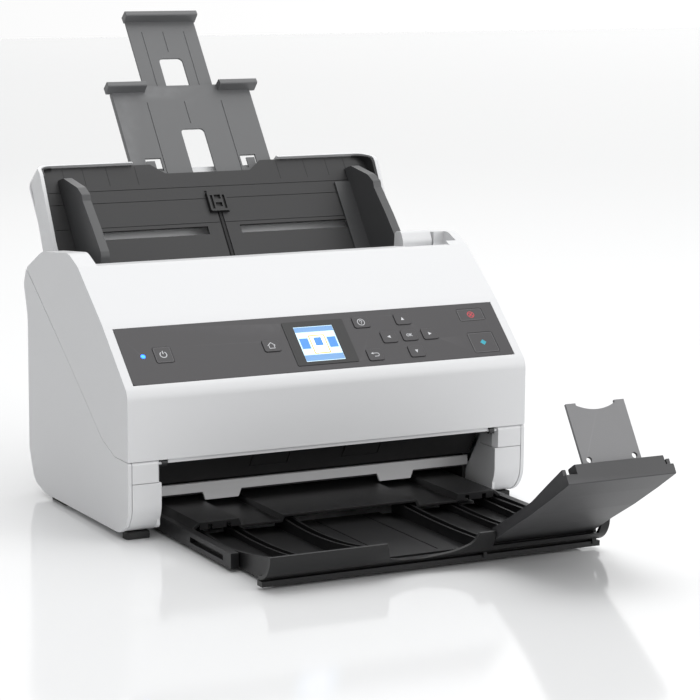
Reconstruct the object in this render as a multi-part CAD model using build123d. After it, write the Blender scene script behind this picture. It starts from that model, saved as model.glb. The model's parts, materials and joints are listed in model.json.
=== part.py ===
from build123d import *
import os
from math import acos, atan2, ceil, cos, degrees, pi, radians, sin, tan

# A desktop sheet-fed document scanner, in millimetres.
# X runs along the machine's width, +Y points to its back, +Z up.
# The drawing is made with Y = 0 at the front cover's vertical face and Z = 0 on the table.
# At the end every piece is moved along Y, so that the origin is the centre of the footprint.

# ---------------------------------------------------------------- driving dimensions
BODY_HALF = 147.8          # half of the machine's width
SHELL_WALL = 2.4           # wall of the white covers
PART_GAP = 0.4             # seam between neighbouring covers
RUNNING = 0.05             # radial clearance of a shaft in its bush
SLIDE_GAP = 0.6            # side clearance of a sliding piece

COVER_BOTTOM = 53.5        # lower edge of the front cover
BEND_HEIGHT = 97.9         # where the front face's line meets the sloping panel's line
PANEL_SLOPE = 42.5         # degrees from horizontal
PANEL_TOP_Y = 43.0         # where the panel's slope ends and the upper slope begins
RIDGE_Y = 84.1
RIDGE_Z = 169.3
SHELF_BACK_Y = 110.0       # rear edge of the shelf behind the ridge
SHELF_BACK_Z = 166.8
CHEEK_INNER = 134.0        # inner face of the cover's two shoulders
BACK_Y = 179.4             # rear face of the machine

HINGE_Y = 2.2
HINGE_Z = 51.0
HINGE_PIN_R = 1.0

PATH_ANGLE = 52.8          # slope of the paper's straight path
EXIT_Y = 62.2              # a point on the path's line, near the exit
EXIT_Z = 31.0
PAPER_GAP = 0.8            # from the path's line to each guide plate
GUIDE_HALF = 122.0         # half width of the inner paper guides
FRAME_INNER = 123.5        # inner face of the metal side frames
FRAME_WALL = 2.5
GUIDE_WALL = 2.0           # thickness of the paper guides

ROLLER_R = 8.0
SHAFT_R = 3.0
NIP = 0.15                 # from the path's line to each roller's surface
EXIT_T = 32.0              # places of the rollers along the path
FEED_T = 84.0
PICK_T = 124.0
PINCH_R = 6.0
PINCH_SHAFT_R = 2.0
SCAN_LOW_T = 46.0          # the two image sensors
SCAN_HIGH_T = 66.0
SCAN_DEPTH = 20.0

GEAR_MODULE = 0.8
GEAR_WIDTH = 5.0
FEED_TEETH = 40
EXIT_IDLER_TEETH = 25
PICK_TEETH = 20
PICK_IDLER_TEETH = 20
PINION_TEETH = 20
GEAR_BACKLASH = 0.16
MOTOR_ANGLE = -35.0        # direction of the motor's shaft from the feed shaft, in degrees
MOTOR_R = 17.5
MOTOR_LENGTH = 38.0

TRAY_HALF = 130.2
TRAY_WALL = 1.6
TRAY_LOW_T = 134.0         # lower and upper ends of the input tray along the path
TRAY_TOP_T = 239.5
TRAY_CORNER = 9.2
NOTCH_TOP_HALF = 43.4      # the cut-out in the tray's top edge for the sliding support
NOTCH_LOW_HALF = 33.2
NOTCH_DEPTH = 8.0
SLOT_T = 183.0             # the two slots that the edge guides' posts run in
SLOT_WIDTH = 6.6
SLOT_INNER = 12.6
SLOT_OUTER = 113.0
GROOVE_WIDTH = 4.0
SHELL_HALF = 133.0         # the white shell behind the tray
SHELL_CORNER = 12.0
SHELL_TRAY_GAP = 0.3
SHELL_DEPTH = 11.0

GUIDE_INNER = 110.0        # inner face of an edge guide's wall at rest
GUIDE_THICK = 6.3
FOOT_REACH = 12.2
GUIDE_TRAVEL = 84.0
RACK_THICK = 2.0
RACK_DEPTH = 4.0
RACK_TEETH = 16            # teeth of the pinion between the two racks
RACK_MODULE = 0.8

SUPPORT_N = -4.6           # front face of the lower sliding support, below the tray's surface
SUPPORT_HALF = 55.0
SUPPORT_WALL = 1.8
SUPPORT_TOP_T = 309.0
SUPPORT_LENGTH = 105.0
SUPPORT_TRAVEL = 60.0
SUPPORT_RAIL = 4.6         # height of its side rails behind the plate
UPPER_HALF = 27.6
UPPER_TOP_T = 372.0
UPPER_LENGTH = 99.0
UPPER_TRAVEL = 56.0
LIP_HEIGHT = 7.5

PANEL_LOW = 6.6            # from the bend to the panel's lower edge, along the slope
PANEL_HALF = 141.6
PANEL_LENGTH = 46.5
PANEL_WALL = 1.6
BUTTON_GAP = 0.25
BUTTON_PROUD = 0.8
BUTTON_TRAVEL = 0.6
BOARD_DEPTH = 8.0

BAY_CEILING = 19.0         # underside of the chassis floor, over the output tray's bay
CORNER_INNER = 124.4       # inner face of the front corner blocks
CORNER_SEAM = 38.8
CORNER_OUTER = BODY_HALF - 3.0    # the corner blocks stand a step inside the side covers
BAR_Y = 35.0
BAR_LOW = 20.7
BAR_HIGH = 27.3
BAR_TAB_LOW = 15.2
TAB_INNER = 53.4
TAB_OUTER = 77.8

DECK_FRONT = -25.0         # the output tray, drawn out
DECK_BACK = 76.0
DECK_HIGH = 15.9
DECK_MID = 15.1
DECK_LOW = 11.6
DECK_WALL = 1.6
CHANNEL_INNER = 50.0
CHANNEL_OUTER = 81.0
RAIL_INNER = 113.0
RAIL_OUTER = 118.5
RAIL_LOW = 2.0
RAIL_HIGH = 12.2
RAIL_FRONT = -93.0
TRAY_TRAVEL = 93.0
EXTENSION_TRAVEL = 38.0

TUB_HALF = 120.0           # rolled front wall of the tray's extension
TUB_Y = -135.0
TUB_Z = 23.0
TUB_R = 16.8
TUB_WALL = 2.4
FLOOR_LOW = 2.2
FLOOR_HIGH = 3.6
LIP_FRONT = -140.4
FLAP_LEFT = 36.5
FLAP_RIGHT = 113.0
FLAP_HINGE_Y = -138.0
FLAP_HINGE_Z = 12.0
FLAP_ANGLE = 33.0          # slope of the open flap
FLAP_LENGTH = 111.0
CROWN = 8.4                # height of the flap's raised end over its hinge line
FLAP_SKIN = 2.4
STOP_LEFT = 53.0
STOP_RIGHT = 94.6
STOP_LENGTH = 43.0
STOP_WALL = 2.0
FLAP_PIN_R = 1.5
STOP_PIN_R = 1.2

FRONT_FOOT = 4.4           # heights of the rubber feet
REAR_FOOT = 3.0

# ---------------------------------------------------------------- working planes
SIN = sin(radians(PATH_ANGLE))
COS = cos(radians(PATH_ANGLE))
SIDE = Plane.YZ
PATH = Plane(origin=(0, EXIT_Y, EXIT_Z), x_dir=(1, 0, 0), z_dir=(0, -SIN, COS))
PATH_SIDE = Plane(origin=(0, EXIT_Y, EXIT_Z), x_dir=(0, COS, SIN), z_dir=(1, 0, 0))
SLOPE_SIN = sin(radians(PANEL_SLOPE))
SLOPE_COS = cos(radians(PANEL_SLOPE))
PANEL_Y = PANEL_LOW * SLOPE_COS
PANEL_Z = BEND_HEIGHT + PANEL_LOW * SLOPE_SIN
PANEL = Plane(origin=(0, PANEL_Y, PANEL_Z), x_dir=(1, 0, 0), z_dir=(0, -SLOPE_SIN, SLOPE_COS))
PANEL_TOP_Z = BEND_HEIGHT + PANEL_TOP_Y * tan(radians(PANEL_SLOPE))
ROLLER_N = -(ROLLER_R + NIP)
PINCH_N = PINCH_R + NIP


def on_path(t, n):
    """Y and Z of a point at distance t along the paper's path and n above it."""
    return (EXIT_Y + t * COS - n * SIN, EXIT_Z + t * SIN + n * COS)


# ---------------------------------------------------------------- drawing helpers
def closed_face(points):
    """A flat face from corners (a, b) or (a, b, radius)."""
    corners = [(p[0], p[1]) for p in points]
    radii = [p[2] if len(p) > 2 else 0 for p in points]
    return make_face(FilletPolyline(*corners, radius=radii, close=True))


def prism(plane, points, low, high):
    """The face drawn in a plane's own axes, extruded from low to high along its normal."""
    solid = extrude(closed_face(points), high - low)
    return plane.offset(low) * solid


def side_prism(points, low, high):
    """An outline in (Y, Z), extruded along X."""
    return prism(SIDE, points, low, high)


def path_prism(points, low, high):
    """An outline in (t, n), extruded along X."""
    return prism(PATH_SIDE, points, low, high)


def block(plane, x_span, y_span, z_span):
    """A box given by its spans in a plane's own axes."""
    size = [span[1] - span[0] for span in (x_span, y_span, z_span)]
    middle = [(span[1] + span[0]) / 2 for span in (x_span, y_span, z_span)]
    return plane * Pos(*middle) * Box(*size)


def rod(y, z, radius, x_low, x_high):
    """A round bar along X."""
    return Pos((x_low + x_high) / 2, y, z) * Rot(0, 90, 0) * Cylinder(radius, x_high - x_low)


def ring(y, z, inner, outer, x_low, x_high):
    """A round tube along X."""
    return rod(y, z, outer, x_low, x_high) - rod(y, z, inner, x_low - 1, x_high + 1)


def both_sides(solid):
    """A piece and its mirror image across the middle of the machine."""
    return [solid, mirror(solid, Plane.YZ)]


def joined(solids):
    """One solid from overlapping ones."""
    whole = solids[0]
    for other in solids[1:]:
        whole = whole + other
    return whole


# ---------------------------------------------------------------- outlines that pieces share
FRONT_LINE = [
    (0, COVER_BOTTOM),
    (0, BEND_HEIGHT, 12),
    (PANEL_TOP_Y, PANEL_TOP_Z, 60),
]
COVER_LIMIT_T = 118.0
COVER_LIMIT_N = 3.4


def cover_middle_outline():
    """Side view of the cover between its shoulders."""
    return FRONT_LINE + [
        (RIDGE_Y, RIDGE_Z, 4),
        (SHELF_BACK_Y, SHELF_BACK_Z, 3),
        (SHELF_BACK_Y + 6, SHELF_BACK_Z - 8, 6),
        on_path(COVER_LIMIT_T, COVER_LIMIT_N),
        on_path(26, COVER_LIMIT_N),
        (60, COVER_BOTTOM),
    ]


SEAM = [(97.4, 99.4, 40), (44.0, 61.2, 28), (22.0, COVER_BOTTOM)]


def cheek_outline():
    """Side view of the cover's shoulders, down to the seam."""
    return FRONT_LINE + [
        (RIDGE_Y, RIDGE_Z, 6),
        (101.0, 176.4, 16),
        (150.0, 171.6, 30),
        (180.6, 156.6, 1),
    ] + SEAM


def lower_outline():
    """Side view of the lower unit, from the seam down."""
    seam = [(y, z - PART_GAP, *r) for y, z, *r in SEAM]
    return [
        (0, COVER_BOTTOM - PART_GAP, 2.0),
        (0, 4.4, 20),
        (148.0, 3.0, 10),
        (170.0, 8.0, 14),
        (BACK_Y, 30.0, 16),
        (BACK_Y, 122.0, 30),
        (186.3, 145.0, 7),
        (181.4, 156.0, 1),
    ] + seam


def shelled(outline, wall, low, high, inner_low, inner_high):
    """A prism hollowed by the same outline moved inwards by a wall."""
    face = closed_face(outline)
    outer = extrude(face, high - low)
    core = extrude(offset(face, amount=-wall), inner_high - inner_low)
    return SIDE.offset(low) * outer - SIDE.offset(inner_low) * core


# ---------------------------------------------------------------- the hinged cover
LEVER_LOW_X = 109.0
LEVER_HIGH_X = 132.6
LEVER_Y = 113.0
LEVER_Z = 147.0
LEVER_SHAFT_R = 2.5
WELL_LOW_X = 103.0
WELL_FRONT_Y = 89.0
WELL_BACK_Y = 124.5
WELL_FLOOR_Z = 159.0


def front_cover():
    middle = shelled(cover_middle_outline(), SHELL_WALL, -CHEEK_INNER, CHEEK_INNER,
                     -CHEEK_INNER - 1, CHEEK_INNER + 1)
    path_side = path_prism([(-60, -30), (125, -30), (125, COVER_LIMIT_N + SHELL_WALL + 0.2),
                            (-60, COVER_LIMIT_N + SHELL_WALL + 0.2)], -CHEEK_INNER - 1, CHEEK_INNER + 1)
    underside = block(Plane.XY, (-CHEEK_INNER - 1, CHEEK_INNER + 1), (SHELL_WALL, 90),
                      (COVER_BOTTOM - 1, COVER_BOTTOM + SHELL_WALL + 0.3))
    middle = middle - path_side - underside
    cheek = shelled(cheek_outline(), SHELL_WALL, CHEEK_INNER, BODY_HALF,
                    CHEEK_INNER + SHELL_WALL, BODY_HALF - SHELL_WALL)
    well = block(Plane.XY, (WELL_LOW_X - 2, CHEEK_INNER + 1), (WELL_FRONT_Y - 2, WELL_BACK_Y + 2),
                 (WELL_FLOOR_Z - 2, SHELF_BACK_Z + 4))
    well = well & side_prism(cover_middle_outline(), WELL_LOW_X - 3, CHEEK_INNER + 1)
    cover = joined([middle] + both_sides(cheek) + [well])
    finger = side_prism([(WELL_FRONT_Y, 182), (WELL_FRONT_Y, WELL_FLOOR_Z, 6),
                         (WELL_BACK_Y, WELL_FLOOR_Z), (WELL_BACK_Y, 182)], WELL_LOW_X, CHEEK_INNER - 0.6)
    scoop = side_prism([(WELL_FRONT_Y, 182), (WELL_FRONT_Y, 164, 5), (107, 164, 5), (107, 182)],
                       CHEEK_INNER - 2, CHEEK_INNER + 8.0)
    pocket_wall = block(Plane.XY, (CHEEK_INNER, CHEEK_INNER + 9.5), (WELL_FRONT_Y - 2, 109),
                        (162.2, 176)) & side_prism(cheek_outline(), CHEEK_INNER, BODY_HALF)
    cover = cover + pocket_wall - finger - scoop
    shaft_hole = rod(LEVER_Y, LEVER_Z, LEVER_SHAFT_R + 3, WELL_LOW_X, CHEEK_INNER - 0.6)
    lever_slot = block(Plane.XY, (LEVER_LOW_X - 0.6, LEVER_HIGH_X + 0.6), (LEVER_Y - 8, LEVER_Y + 9),
                       (LEVER_Z, WELL_FLOOR_Z + 1))
    hook_slot = block(Plane.XY, (-130.3, -126.2), (LEVER_Y + 3, LEVER_Y + 22), (120, LEVER_Z - 1))
    cover = cover - lever_slot - shaft_hole - hook_slot
    recess = block(PANEL, (-PANEL_HALF - 0.2, PANEL_HALF + 0.2), (-0.2, PANEL_LENGTH + 0.2),
                   (-PANEL_WALL - 0.1, 8))
    window = block(PANEL, (-CHEEK_INNER + 1, CHEEK_INNER - 1), (2.0, PANEL_LENGTH - 2.6), (-12, 0))
    cover = cover - recess - window
    cover = joined([cover, latch_bracket(97, 100), latch_bracket(-100, -97)])
    lip = block(Plane.XY, (-CORNER_INNER + 5, CORNER_INNER - 5), (1.5, 4.2), (50.8, 55.6))
    return cover + lip


ROOF_Z = 51.6
APRON_TOP = (19.4, 51.8)    # front face of the sloping plate over the output slot
APRON_LOW = (34.4, 29.3)
APRON_WALL = 1.8


def exit_apron():
    """Sloping plate from the roof down to the output slot, with two moulded tabs."""
    run = (APRON_LOW[0] - APRON_TOP[0], APRON_LOW[1] - APRON_TOP[1])
    length = (run[0] ** 2 + run[1] ** 2) ** 0.5
    plane = Plane(origin=(0, *APRON_TOP), x_dir=(1, 0, 0), z_dir=(0, run[1] / length, -run[0] / length))
    low, high = sorted((0, length * plane.y_dir.dot(Vector(0, *run).normalized())))
    plate = block(plane, (-123.2, 123.2), (low, high), (-APRON_WALL, 0))
    sign = 1 if high > 1 else -1
    for side in (-1, 1):
        across = sorted((side * 20.2, side * 48.6))
        along = sorted((sign * 3.0, sign * 18.6))
        tab = block(plane, across, along, (-0.8, 1))
        inner = block(plane, (across[0] + 1.1, across[1] - 1.1), (along[0] + 1.1, along[1] - 1.1), (-2, 2))
        plate = plate - (tab - inner)
    return plate


def hinge_lug():
    """Right lug under the cover's front edge, which turns on the corner block's peg."""
    lug = rod(HINGE_Y, HINGE_Z, 2.2, 120.0, 123.8)
    web = side_prism([(HINGE_Y, 49.6), (8, 49.6), (12, ROOF_Z), (12, ROOF_Z + 1.6), (HINGE_Y, ROOF_Z + 1.6)],
                     120.0, 123.8)
    arm = block(Plane.XY, (117.0, 123.8), (5.0, 16.0), (ROOF_Z, ROOF_Z + 1.6))
    return joined([lug, web, arm]) - rod(HINGE_Y, HINGE_Z, HINGE_PIN_R + RUNNING, 118, 125)


def upper_paper_guide():
    """Roof of the exit and the plate above the paper, in one moulding with the hinge's lugs."""
    roof_z = ROOF_Z
    wall = GUIDE_WALL
    roof_back = EXIT_Y + (roof_z - EXIT_Z) * COS / SIN
    plate = path_prism([(26, PAPER_GAP), (COVER_LIMIT_T - 4, PAPER_GAP), (COVER_LIMIT_T, PAPER_GAP + 2),
                        (COVER_LIMIT_T, PAPER_GAP + wall + 0.4), (26, PAPER_GAP + wall)],
                       -GUIDE_HALF, GUIDE_HALF)
    roof = block(Plane.XY, (-118.5, 118.5), (5.0, roof_back - 0.5), (roof_z, roof_z + 1.8))
    guide = plate + roof
    window = block(PATH, (-119.5, 119.5), (SCAN_LOW_T - 0.6, SCAN_HIGH_T + 0.6), (-1, 8))
    guide = guide - window
    for low, high in TYRES:
        for t, reach in ((FEED_T, PINCH_R), (EXIT_T, PINCH_R)):
            hole = block(PATH, (low - 1, high + 1), (t - reach - 1, t + reach + 1), (-1, 8))
            guide = guide - hole - mirror(hole, Plane.YZ)
    guide = guide - block(PATH, (-32, 32), (SEPARATION_T - 7, COVER_LIMIT_T + 1), (-1, 8))
    edges = path_prism([(26, PAPER_GAP), (COVER_LIMIT_T - 6, PAPER_GAP), (COVER_LIMIT_T - 6, 5), (26, 5)],
                       GUIDE_HALF - 1, FRAME_INNER + FRAME_WALL)
    guide = joined([guide, exit_apron(), upper_frame()] + both_sides(edges) + both_sides(hinge_lug()))
    for t in (FEED_T, EXIT_T):
        y, z = on_path(t, PINCH_N)
        for side in (-1, 1):
            x = side * (FRAME_INNER + 1)
            guide = guide - rod(y, z, PINCH_SHAFT_R + RUNNING, x - 5, x + 5)
    return guide


def upper_frame():
    """Two side plates and a cross beam of the upper guide; they carry its rollers and its sensor."""
    plate = path_prism([(20, 4.4), (108, 4.4), (108, 14, 4), (96, 30, 8), (40, 30, 8), (20, 22, 6)],
                       FRAME_INNER, FRAME_INNER + FRAME_WALL)
    beam = block(PATH, (-FRAME_INNER - 1, FRAME_INNER + 1), (58, 94), (26, 28.4))
    frame = joined([beam] + both_sides(plate))
    return frame


def scan_module(sign):
    """Image sensor housing; sign is +1 above the path and -1 below it."""
    near, far = 2.2, 2.2 + SCAN_DEPTH
    low, high = sorted((sign * near, sign * far))
    housing = block(PATH, (-118, 118), (SCAN_LOW_T, SCAN_HIGH_T), (low, high))
    low, high = sorted((sign * near, sign * (near + 6)))
    channel = block(PATH, (-113, 113), (SCAN_LOW_T + 4, SCAN_HIGH_T - 4), (low - 0.1, high))
    if sign < 0:
        channel = block(PATH, (-113, 113), (SCAN_LOW_T + 4, SCAN_HIGH_T - 4), (low, high + 0.1))
    return housing - channel


def scan_glass(sign):
    low, high = sorted((sign * 1.0, sign * 2.2))
    return block(PATH, (-116, 116), (SCAN_LOW_T + 1, SCAN_HIGH_T - 1), (low, high))


TYRES = [(18, 36), (62, 80)]


def tyre_set(t, n, inner, outer):
    """Rubber tyres on a shaft, the same on both sides."""
    y, z = on_path(t, n)
    tyres = []
    for low, high in TYRES:
        tyres += both_sides(ring(y, z, inner, outer, low, high))
    return tyres


def pinch_roller(t):
    """Free-running shaft with four rollers, moulded in one piece."""
    y, z = on_path(t, PINCH_N)
    shaft = rod(y, z, PINCH_SHAFT_R, -126.4, 126.4)
    rollers = []
    for low, high in TYRES:
        rollers += both_sides(rod(y, z, PINCH_R, low + 0.5, high - 0.5))
    return joined([shaft] + rollers)


def separation_roller():
    """Roller above the pick-up roller, on a stub shaft moulded with it."""
    y, z = on_path(SEPARATION_T, SEPARATION_R + NIP)
    return rod(y, z, SEPARATION_R, -26, 26) + rod(y, z, PINCH_SHAFT_R, -31, 31)


SEPARATION_T = 110.0
SEPARATION_R = 5.0


def release_lever():
    """White paddle behind the finger well."""
    paddle = side_prism([(108.2, 161.0), (106.4, 170.0, 5), (110.5, 177.0, 3), (119.5, 176.0, 4),
                         (120.8, 161.0), (LEVER_Y + 4.5, LEVER_Z, 3), (LEVER_Y - 4.5, LEVER_Z, 3)],
                        LEVER_LOW_X, LEVER_HIGH_X)
    shaft = rod(LEVER_Y, LEVER_Z, LEVER_SHAFT_R, -129.5, LEVER_HIGH_X)
    return joined([paddle, shaft, latch_hook()])


CATCH_T = 104.0
CATCH_N = -8.0
CATCH_R = 1.6


def latch_hook():
    """Arm at the left end of the lever's shaft, with a short nose beside the catch pin."""
    y, z = LEVER_Y, LEVER_Z
    arm = side_prism([(y - 4, z), (y + 4, z), on_path(114, 4), on_path(113, -11), on_path(109, -11),
                      on_path(106.6, -10.4), on_path(108.2, -6), on_path(108, 6)], -129.5, -127.0)
    return arm + rod(y, z, LEVER_SHAFT_R + 2.2, -129.5, -127.0)


def latch_bracket(low, high):
    """Bearing of the latch shaft, part of the cover."""
    top = SHELF_BACK_Z - 1
    body = side_prism([(LEVER_Y - 5, LEVER_Z - 5), (LEVER_Y + 4, LEVER_Z - 5),
                       (LEVER_Y + 4, top), (LEVER_Y - 5, top)], low, high)
    body = body & side_prism(cover_middle_outline(), low, high)
    return body - rod(LEVER_Y, LEVER_Z, LEVER_SHAFT_R + RUNNING, low - 1, high + 1)


# ---------------------------------------------------------------- control panel
# name: (centre x, centre along the slope, width, height, proud)
BUTTONS = {
    "power_button": (-113.7, 22.6, 12.6, 12.8, 0.5),
    "home_button": (-36.0, 22.9, 12.0, 9.6, BUTTON_PROUD),
    "help_button": (36.0, 36.8, 12.0, 9.2, BUTTON_PROUD),
    "back_button": (36.3, 8.9, 11.4, 9.8, BUTTON_PROUD),
    "up_button": (67.9, 37.0, 11.5, 9.3, BUTTON_PROUD),
    "left_button": (52.2, 22.7, 11.3, 9.6, BUTTON_PROUD),
    "ok_button": (67.9, 22.9, 11.4, 9.2, BUTTON_PROUD),
    "right_button": (83.7, 22.8, 11.6, 9.2, BUTTON_PROUD),
    "down_button": (68.2, 9.0, 11.5, 9.5, BUTTON_PROUD),
    "stop_button": (121.9, 36.7, 19.8, 10.3, 0.15),
    "start_button": (121.9, 12.2, 19.6, 17.4, 0.15),
}
BEZEL = (0.2, 22.9, 45.6, 36.7)
SCREEN = (-0.7, 22.2, 29.2, 29.6)
LIGHT = (-127.8, 22.7, 1.6)


def round_rect(centre_x, centre_y, width, height, radius, low, high):
    """A rounded rectangular pad in the panel's plane."""
    sketch = Pos(centre_x, centre_y) * RectangleRounded(width, height, radius)
    return PANEL.offset(low) * extrude(sketch, high - low)


def control_panel():
    plate = PANEL.offset(-PANEL_WALL) * extrude(
        Pos(0, PANEL_LENGTH / 2) * RectangleRounded(2 * PANEL_HALF, PANEL_LENGTH, 2.5), PANEL_WALL + 0.15)
    for x, v, width, height, _ in BUTTONS.values():
        plate = plate - round_rect(x, v, width + 2 * BUTTON_GAP, height + 2 * BUTTON_GAP, 1.8, -4, 2)
    x, v, width, height = BEZEL
    plate = plate - round_rect(x, v, width + 0.2, height + 0.2, 1.2, -4, 2)
    x, v, radius = LIGHT
    return plate - PANEL * Pos(x, v) * Cylinder(radius + 0.1, 10)


def button(name):
    """Cap with a flange under the panel that keeps it in."""
    x, v, width, height, proud = BUTTONS[name]
    cap = round_rect(x, v, width, height, 1.6, -3.4, proud)
    if proud > 0.3:
        cap = fillet(cap.faces().sort_by(Axis((0, 0, 0), PANEL.z_dir))[-1].edges(), 0.35)
    flange = round_rect(x, v, width + 2.0, height + 2.0, 2.2, -3.4, -PANEL_WALL - 0.25)
    return cap + flange


def lcd_bezel():
    x, v, width, height = BEZEL
    frame = round_rect(x, v, width, height, 1.2, -PANEL_WALL, 0.5)
    x, v, width, height = SCREEN
    return frame - round_rect(x, v, width, height, 0.4, -4, 2)


def lcd_screen():
    x, v, width, height = SCREEN
    glass = round_rect(x, v, width - 0.1, height - 0.1, 0.3, -PANEL_WALL, 0.1)
    return glass + round_rect(x, v, width + 5, height + 4, 1.0, -5.0, -PANEL_WALL)


def status_light():
    x, v, radius = LIGHT
    pipe = PANEL * Pos(x, v, -3.2) * Cylinder(radius, 6.8)
    return pipe


def panel_board():
    """Circuit board behind the panel, with a switch under each button."""
    board = round_rect(0, 22.9, 262, 38.5, 1.0, -BOARD_DEPTH - 1.6, -BOARD_DEPTH)
    for x, v, _, _, _ in BUTTONS.values():
        board = board + PANEL * Pos(x, v, -(BOARD_DEPTH + 4.3) / 2) * Cylinder(2.2, BOARD_DEPTH - 4.3)
    return board


# ---------------------------------------------------------------- the lower unit
def side_cover():
    """Right side cover: outer skin with a rim; the front is cut back for the corner block."""
    cover = shelled(lower_outline(), SHELL_WALL + 0.2, CHEEK_INNER, BODY_HALF,
                    CHEEK_INNER - 1, BODY_HALF - SHELL_WALL - 0.2)
    front = block(Plane.XY, (CHEEK_INNER - 2, CORNER_OUTER + PART_GAP), (-2, 22.4), (0, 60))
    rear = block(Plane.XY, (CHEEK_INNER - 2, CHEEK_INNER + 0.3), (BACK_Y - 19.4, BACK_Y + 20), (0, 200))
    gear_room = block(Plane.XY, (CHEEK_INNER - 2, CHEEK_INNER + 0.3), (60, 170), (20, 170))
    return cover - front - rear - gear_room


def front_corner():
    """Right lower corner block, a shell open to the back."""
    outline = [(0, CORNER_SEAM - 0.2), (0, 4.6, 20), (22, 4.6), (22, CORNER_SEAM - 0.2)]
    inner = [(-1, CORNER_SEAM - 2.4), (SHELL_WALL, CORNER_SEAM - 2.4), (SHELL_WALL, 7.0, 17),
             (24, 7.0), (24, CORNER_SEAM - 2.4)][1:]
    shell = side_prism(outline, CORNER_INNER, CORNER_OUTER)
    shell = shell - side_prism(inner, CORNER_INNER + 2.2, CORNER_OUTER - 2.2)
    cheek = side_prism([(3, 8, 3), (3, CORNER_SEAM - 0.2), (21.4, CORNER_SEAM - 0.2), (21.4, 43.2),
                        (46, 8, 2)], CORNER_INNER, CORNER_INNER + 2.2)
    return shell + cheek


def hinge_cover():
    """Right upper corner block, with the peg that the front cover turns on."""
    outline = [(0, CORNER_SEAM + 0.2), (0, COVER_BOTTOM - PART_GAP, 2.0),
               (21, COVER_BOTTOM - PART_GAP), (21, CORNER_SEAM + 0.2)]
    shell = side_prism(outline, CORNER_INNER, CORNER_OUTER)
    pocket = side_prism([(6.5, CORNER_SEAM + 2.2), (6.5, 51.0), (23, 51.0), (23, CORNER_SEAM + 2.2)],
                        CORNER_INNER + 2.2, CORNER_OUTER - 2.2)
    bevel = prism(Plane.XY, [(CORNER_INNER - 1, -1), (CORNER_INNER + 3.0, -1), (CORNER_INNER - 1, 6.0)],
                  CORNER_SEAM, COVER_BOTTOM + 1)
    return shell - pocket - bevel + rod(HINGE_Y, HINGE_Z, HINGE_PIN_R, 119.4, 130)


def rear_cover():
    """Rear wall between the side covers, with vents and the openings for the sockets."""
    half = CHEEK_INNER - PART_GAP
    sheet = shelled(lower_outline(), SHELL_WALL, -half, half, -half - 1, half + 1)
    keep = block(Plane.XY, (-half - 2, half + 2), (BACK_Y - 13.4, BACK_Y + 20), (21.8, 146.5))
    sheet = sheet & keep
    top = block(Plane.XY, (-half - 2, half + 2), (BACK_Y - 19.4, BACK_Y - SHELL_WALL), (138, 170))
    sheet = sheet - top
    for row in range(6):
        z = 84 + row * 6
        slot = block(Plane.XY, (-95, -35), (BACK_Y - 9.4, BACK_Y + 10), (z, z + 2.4))
        sheet = sheet - slot - mirror(slot, Plane.YZ)
    usb_x, jack_x, port_z = USB_X, JACK_X, PORT_Z
    usb_gap = block(Plane.XY, (usb_x - 6.6, usb_x + 6.6), (BACK_Y - 14, BACK_Y + 10),
                    (port_z - 6.2, port_z + 6.2))
    jack_gap = Pos(jack_x, BACK_Y - 3.4, port_z) * Rot(90, 0, 0) * Cylinder(6.0, 30)
    return sheet - usb_gap - jack_gap


USB_X = 60.0
JACK_X = 92.0
PORT_Z = 42.0


def usb_port():
    shell = block(Plane.XY, (USB_X - 6.0, USB_X + 6.0), (BACK_Y - 10.8, BACK_Y - 0.4),
                  (PORT_Z - 5.6, PORT_Z + 5.6))
    hole = block(Plane.XY, (USB_X - 4.6, USB_X + 4.6), (BACK_Y - 8.8, BACK_Y), (PORT_Z - 4.4, PORT_Z + 4.4))
    tongue = block(Plane.XY, (USB_X - 2.9, USB_X + 2.9), (BACK_Y - 9.4, BACK_Y - 2),
                   (PORT_Z - 1.6, PORT_Z + 1.6))
    return shell - hole + tongue


def dc_jack():
    body = Pos(JACK_X, BACK_Y - 5.4, PORT_Z) * Rot(90, 0, 0) * Cylinder(5.6, 10.4)
    bore = Pos(JACK_X, BACK_Y - 4.0, PORT_Z) * Rot(90, 0, 0) * Cylinder(2.75, 9.0)
    pin = Pos(JACK_X, BACK_Y - 4.9, PORT_Z) * Rot(90, 0, 0) * Cylinder(1.05, 9.0)
    return body - bore + pin


def main_board():
    board = block(Plane.XY, (-60, 112), (167.0, 168.6), (30, 112))
    chips = [(0, 66, 24, 24), (-34, 52, 12, 18), (36, 88, 16, 10), (84, 74, 14, 14), (-30, 92, 20, 8)]
    for x, z, width, height in chips:
        board = board + Pos(x, 166.0, z) * Box(width, 2.4, height)
    return board


def base_chassis():
    """Floor over the output bay, the bay's walls, the foot flanges and the rear wall."""
    front = BAR_Y + 3.2
    floor = block(Plane.XY, (-123.2, 123.2), (front, 176), (BAY_CEILING, BAY_CEILING + 2.4))
    wing = block(Plane.XY, (121.0, CHEEK_INNER - PART_GAP), (50, 176), (BAY_CEILING, BAY_CEILING + 2.4))
    wall = block(Plane.XY, (120.9, 123.2), (front, 176), (3.0, BAY_CEILING + 1))
    flange = block(Plane.XY, (121.0, CHEEK_INNER - PART_GAP), (50, 150), (3.0, 5.2))
    rear = block(Plane.XY, (-122, 122), (173.4, 175.8), (3.0, BAY_CEILING + 1))
    return joined([floor, rear] + both_sides(wing) + both_sides(wall) + both_sides(flange))


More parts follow.
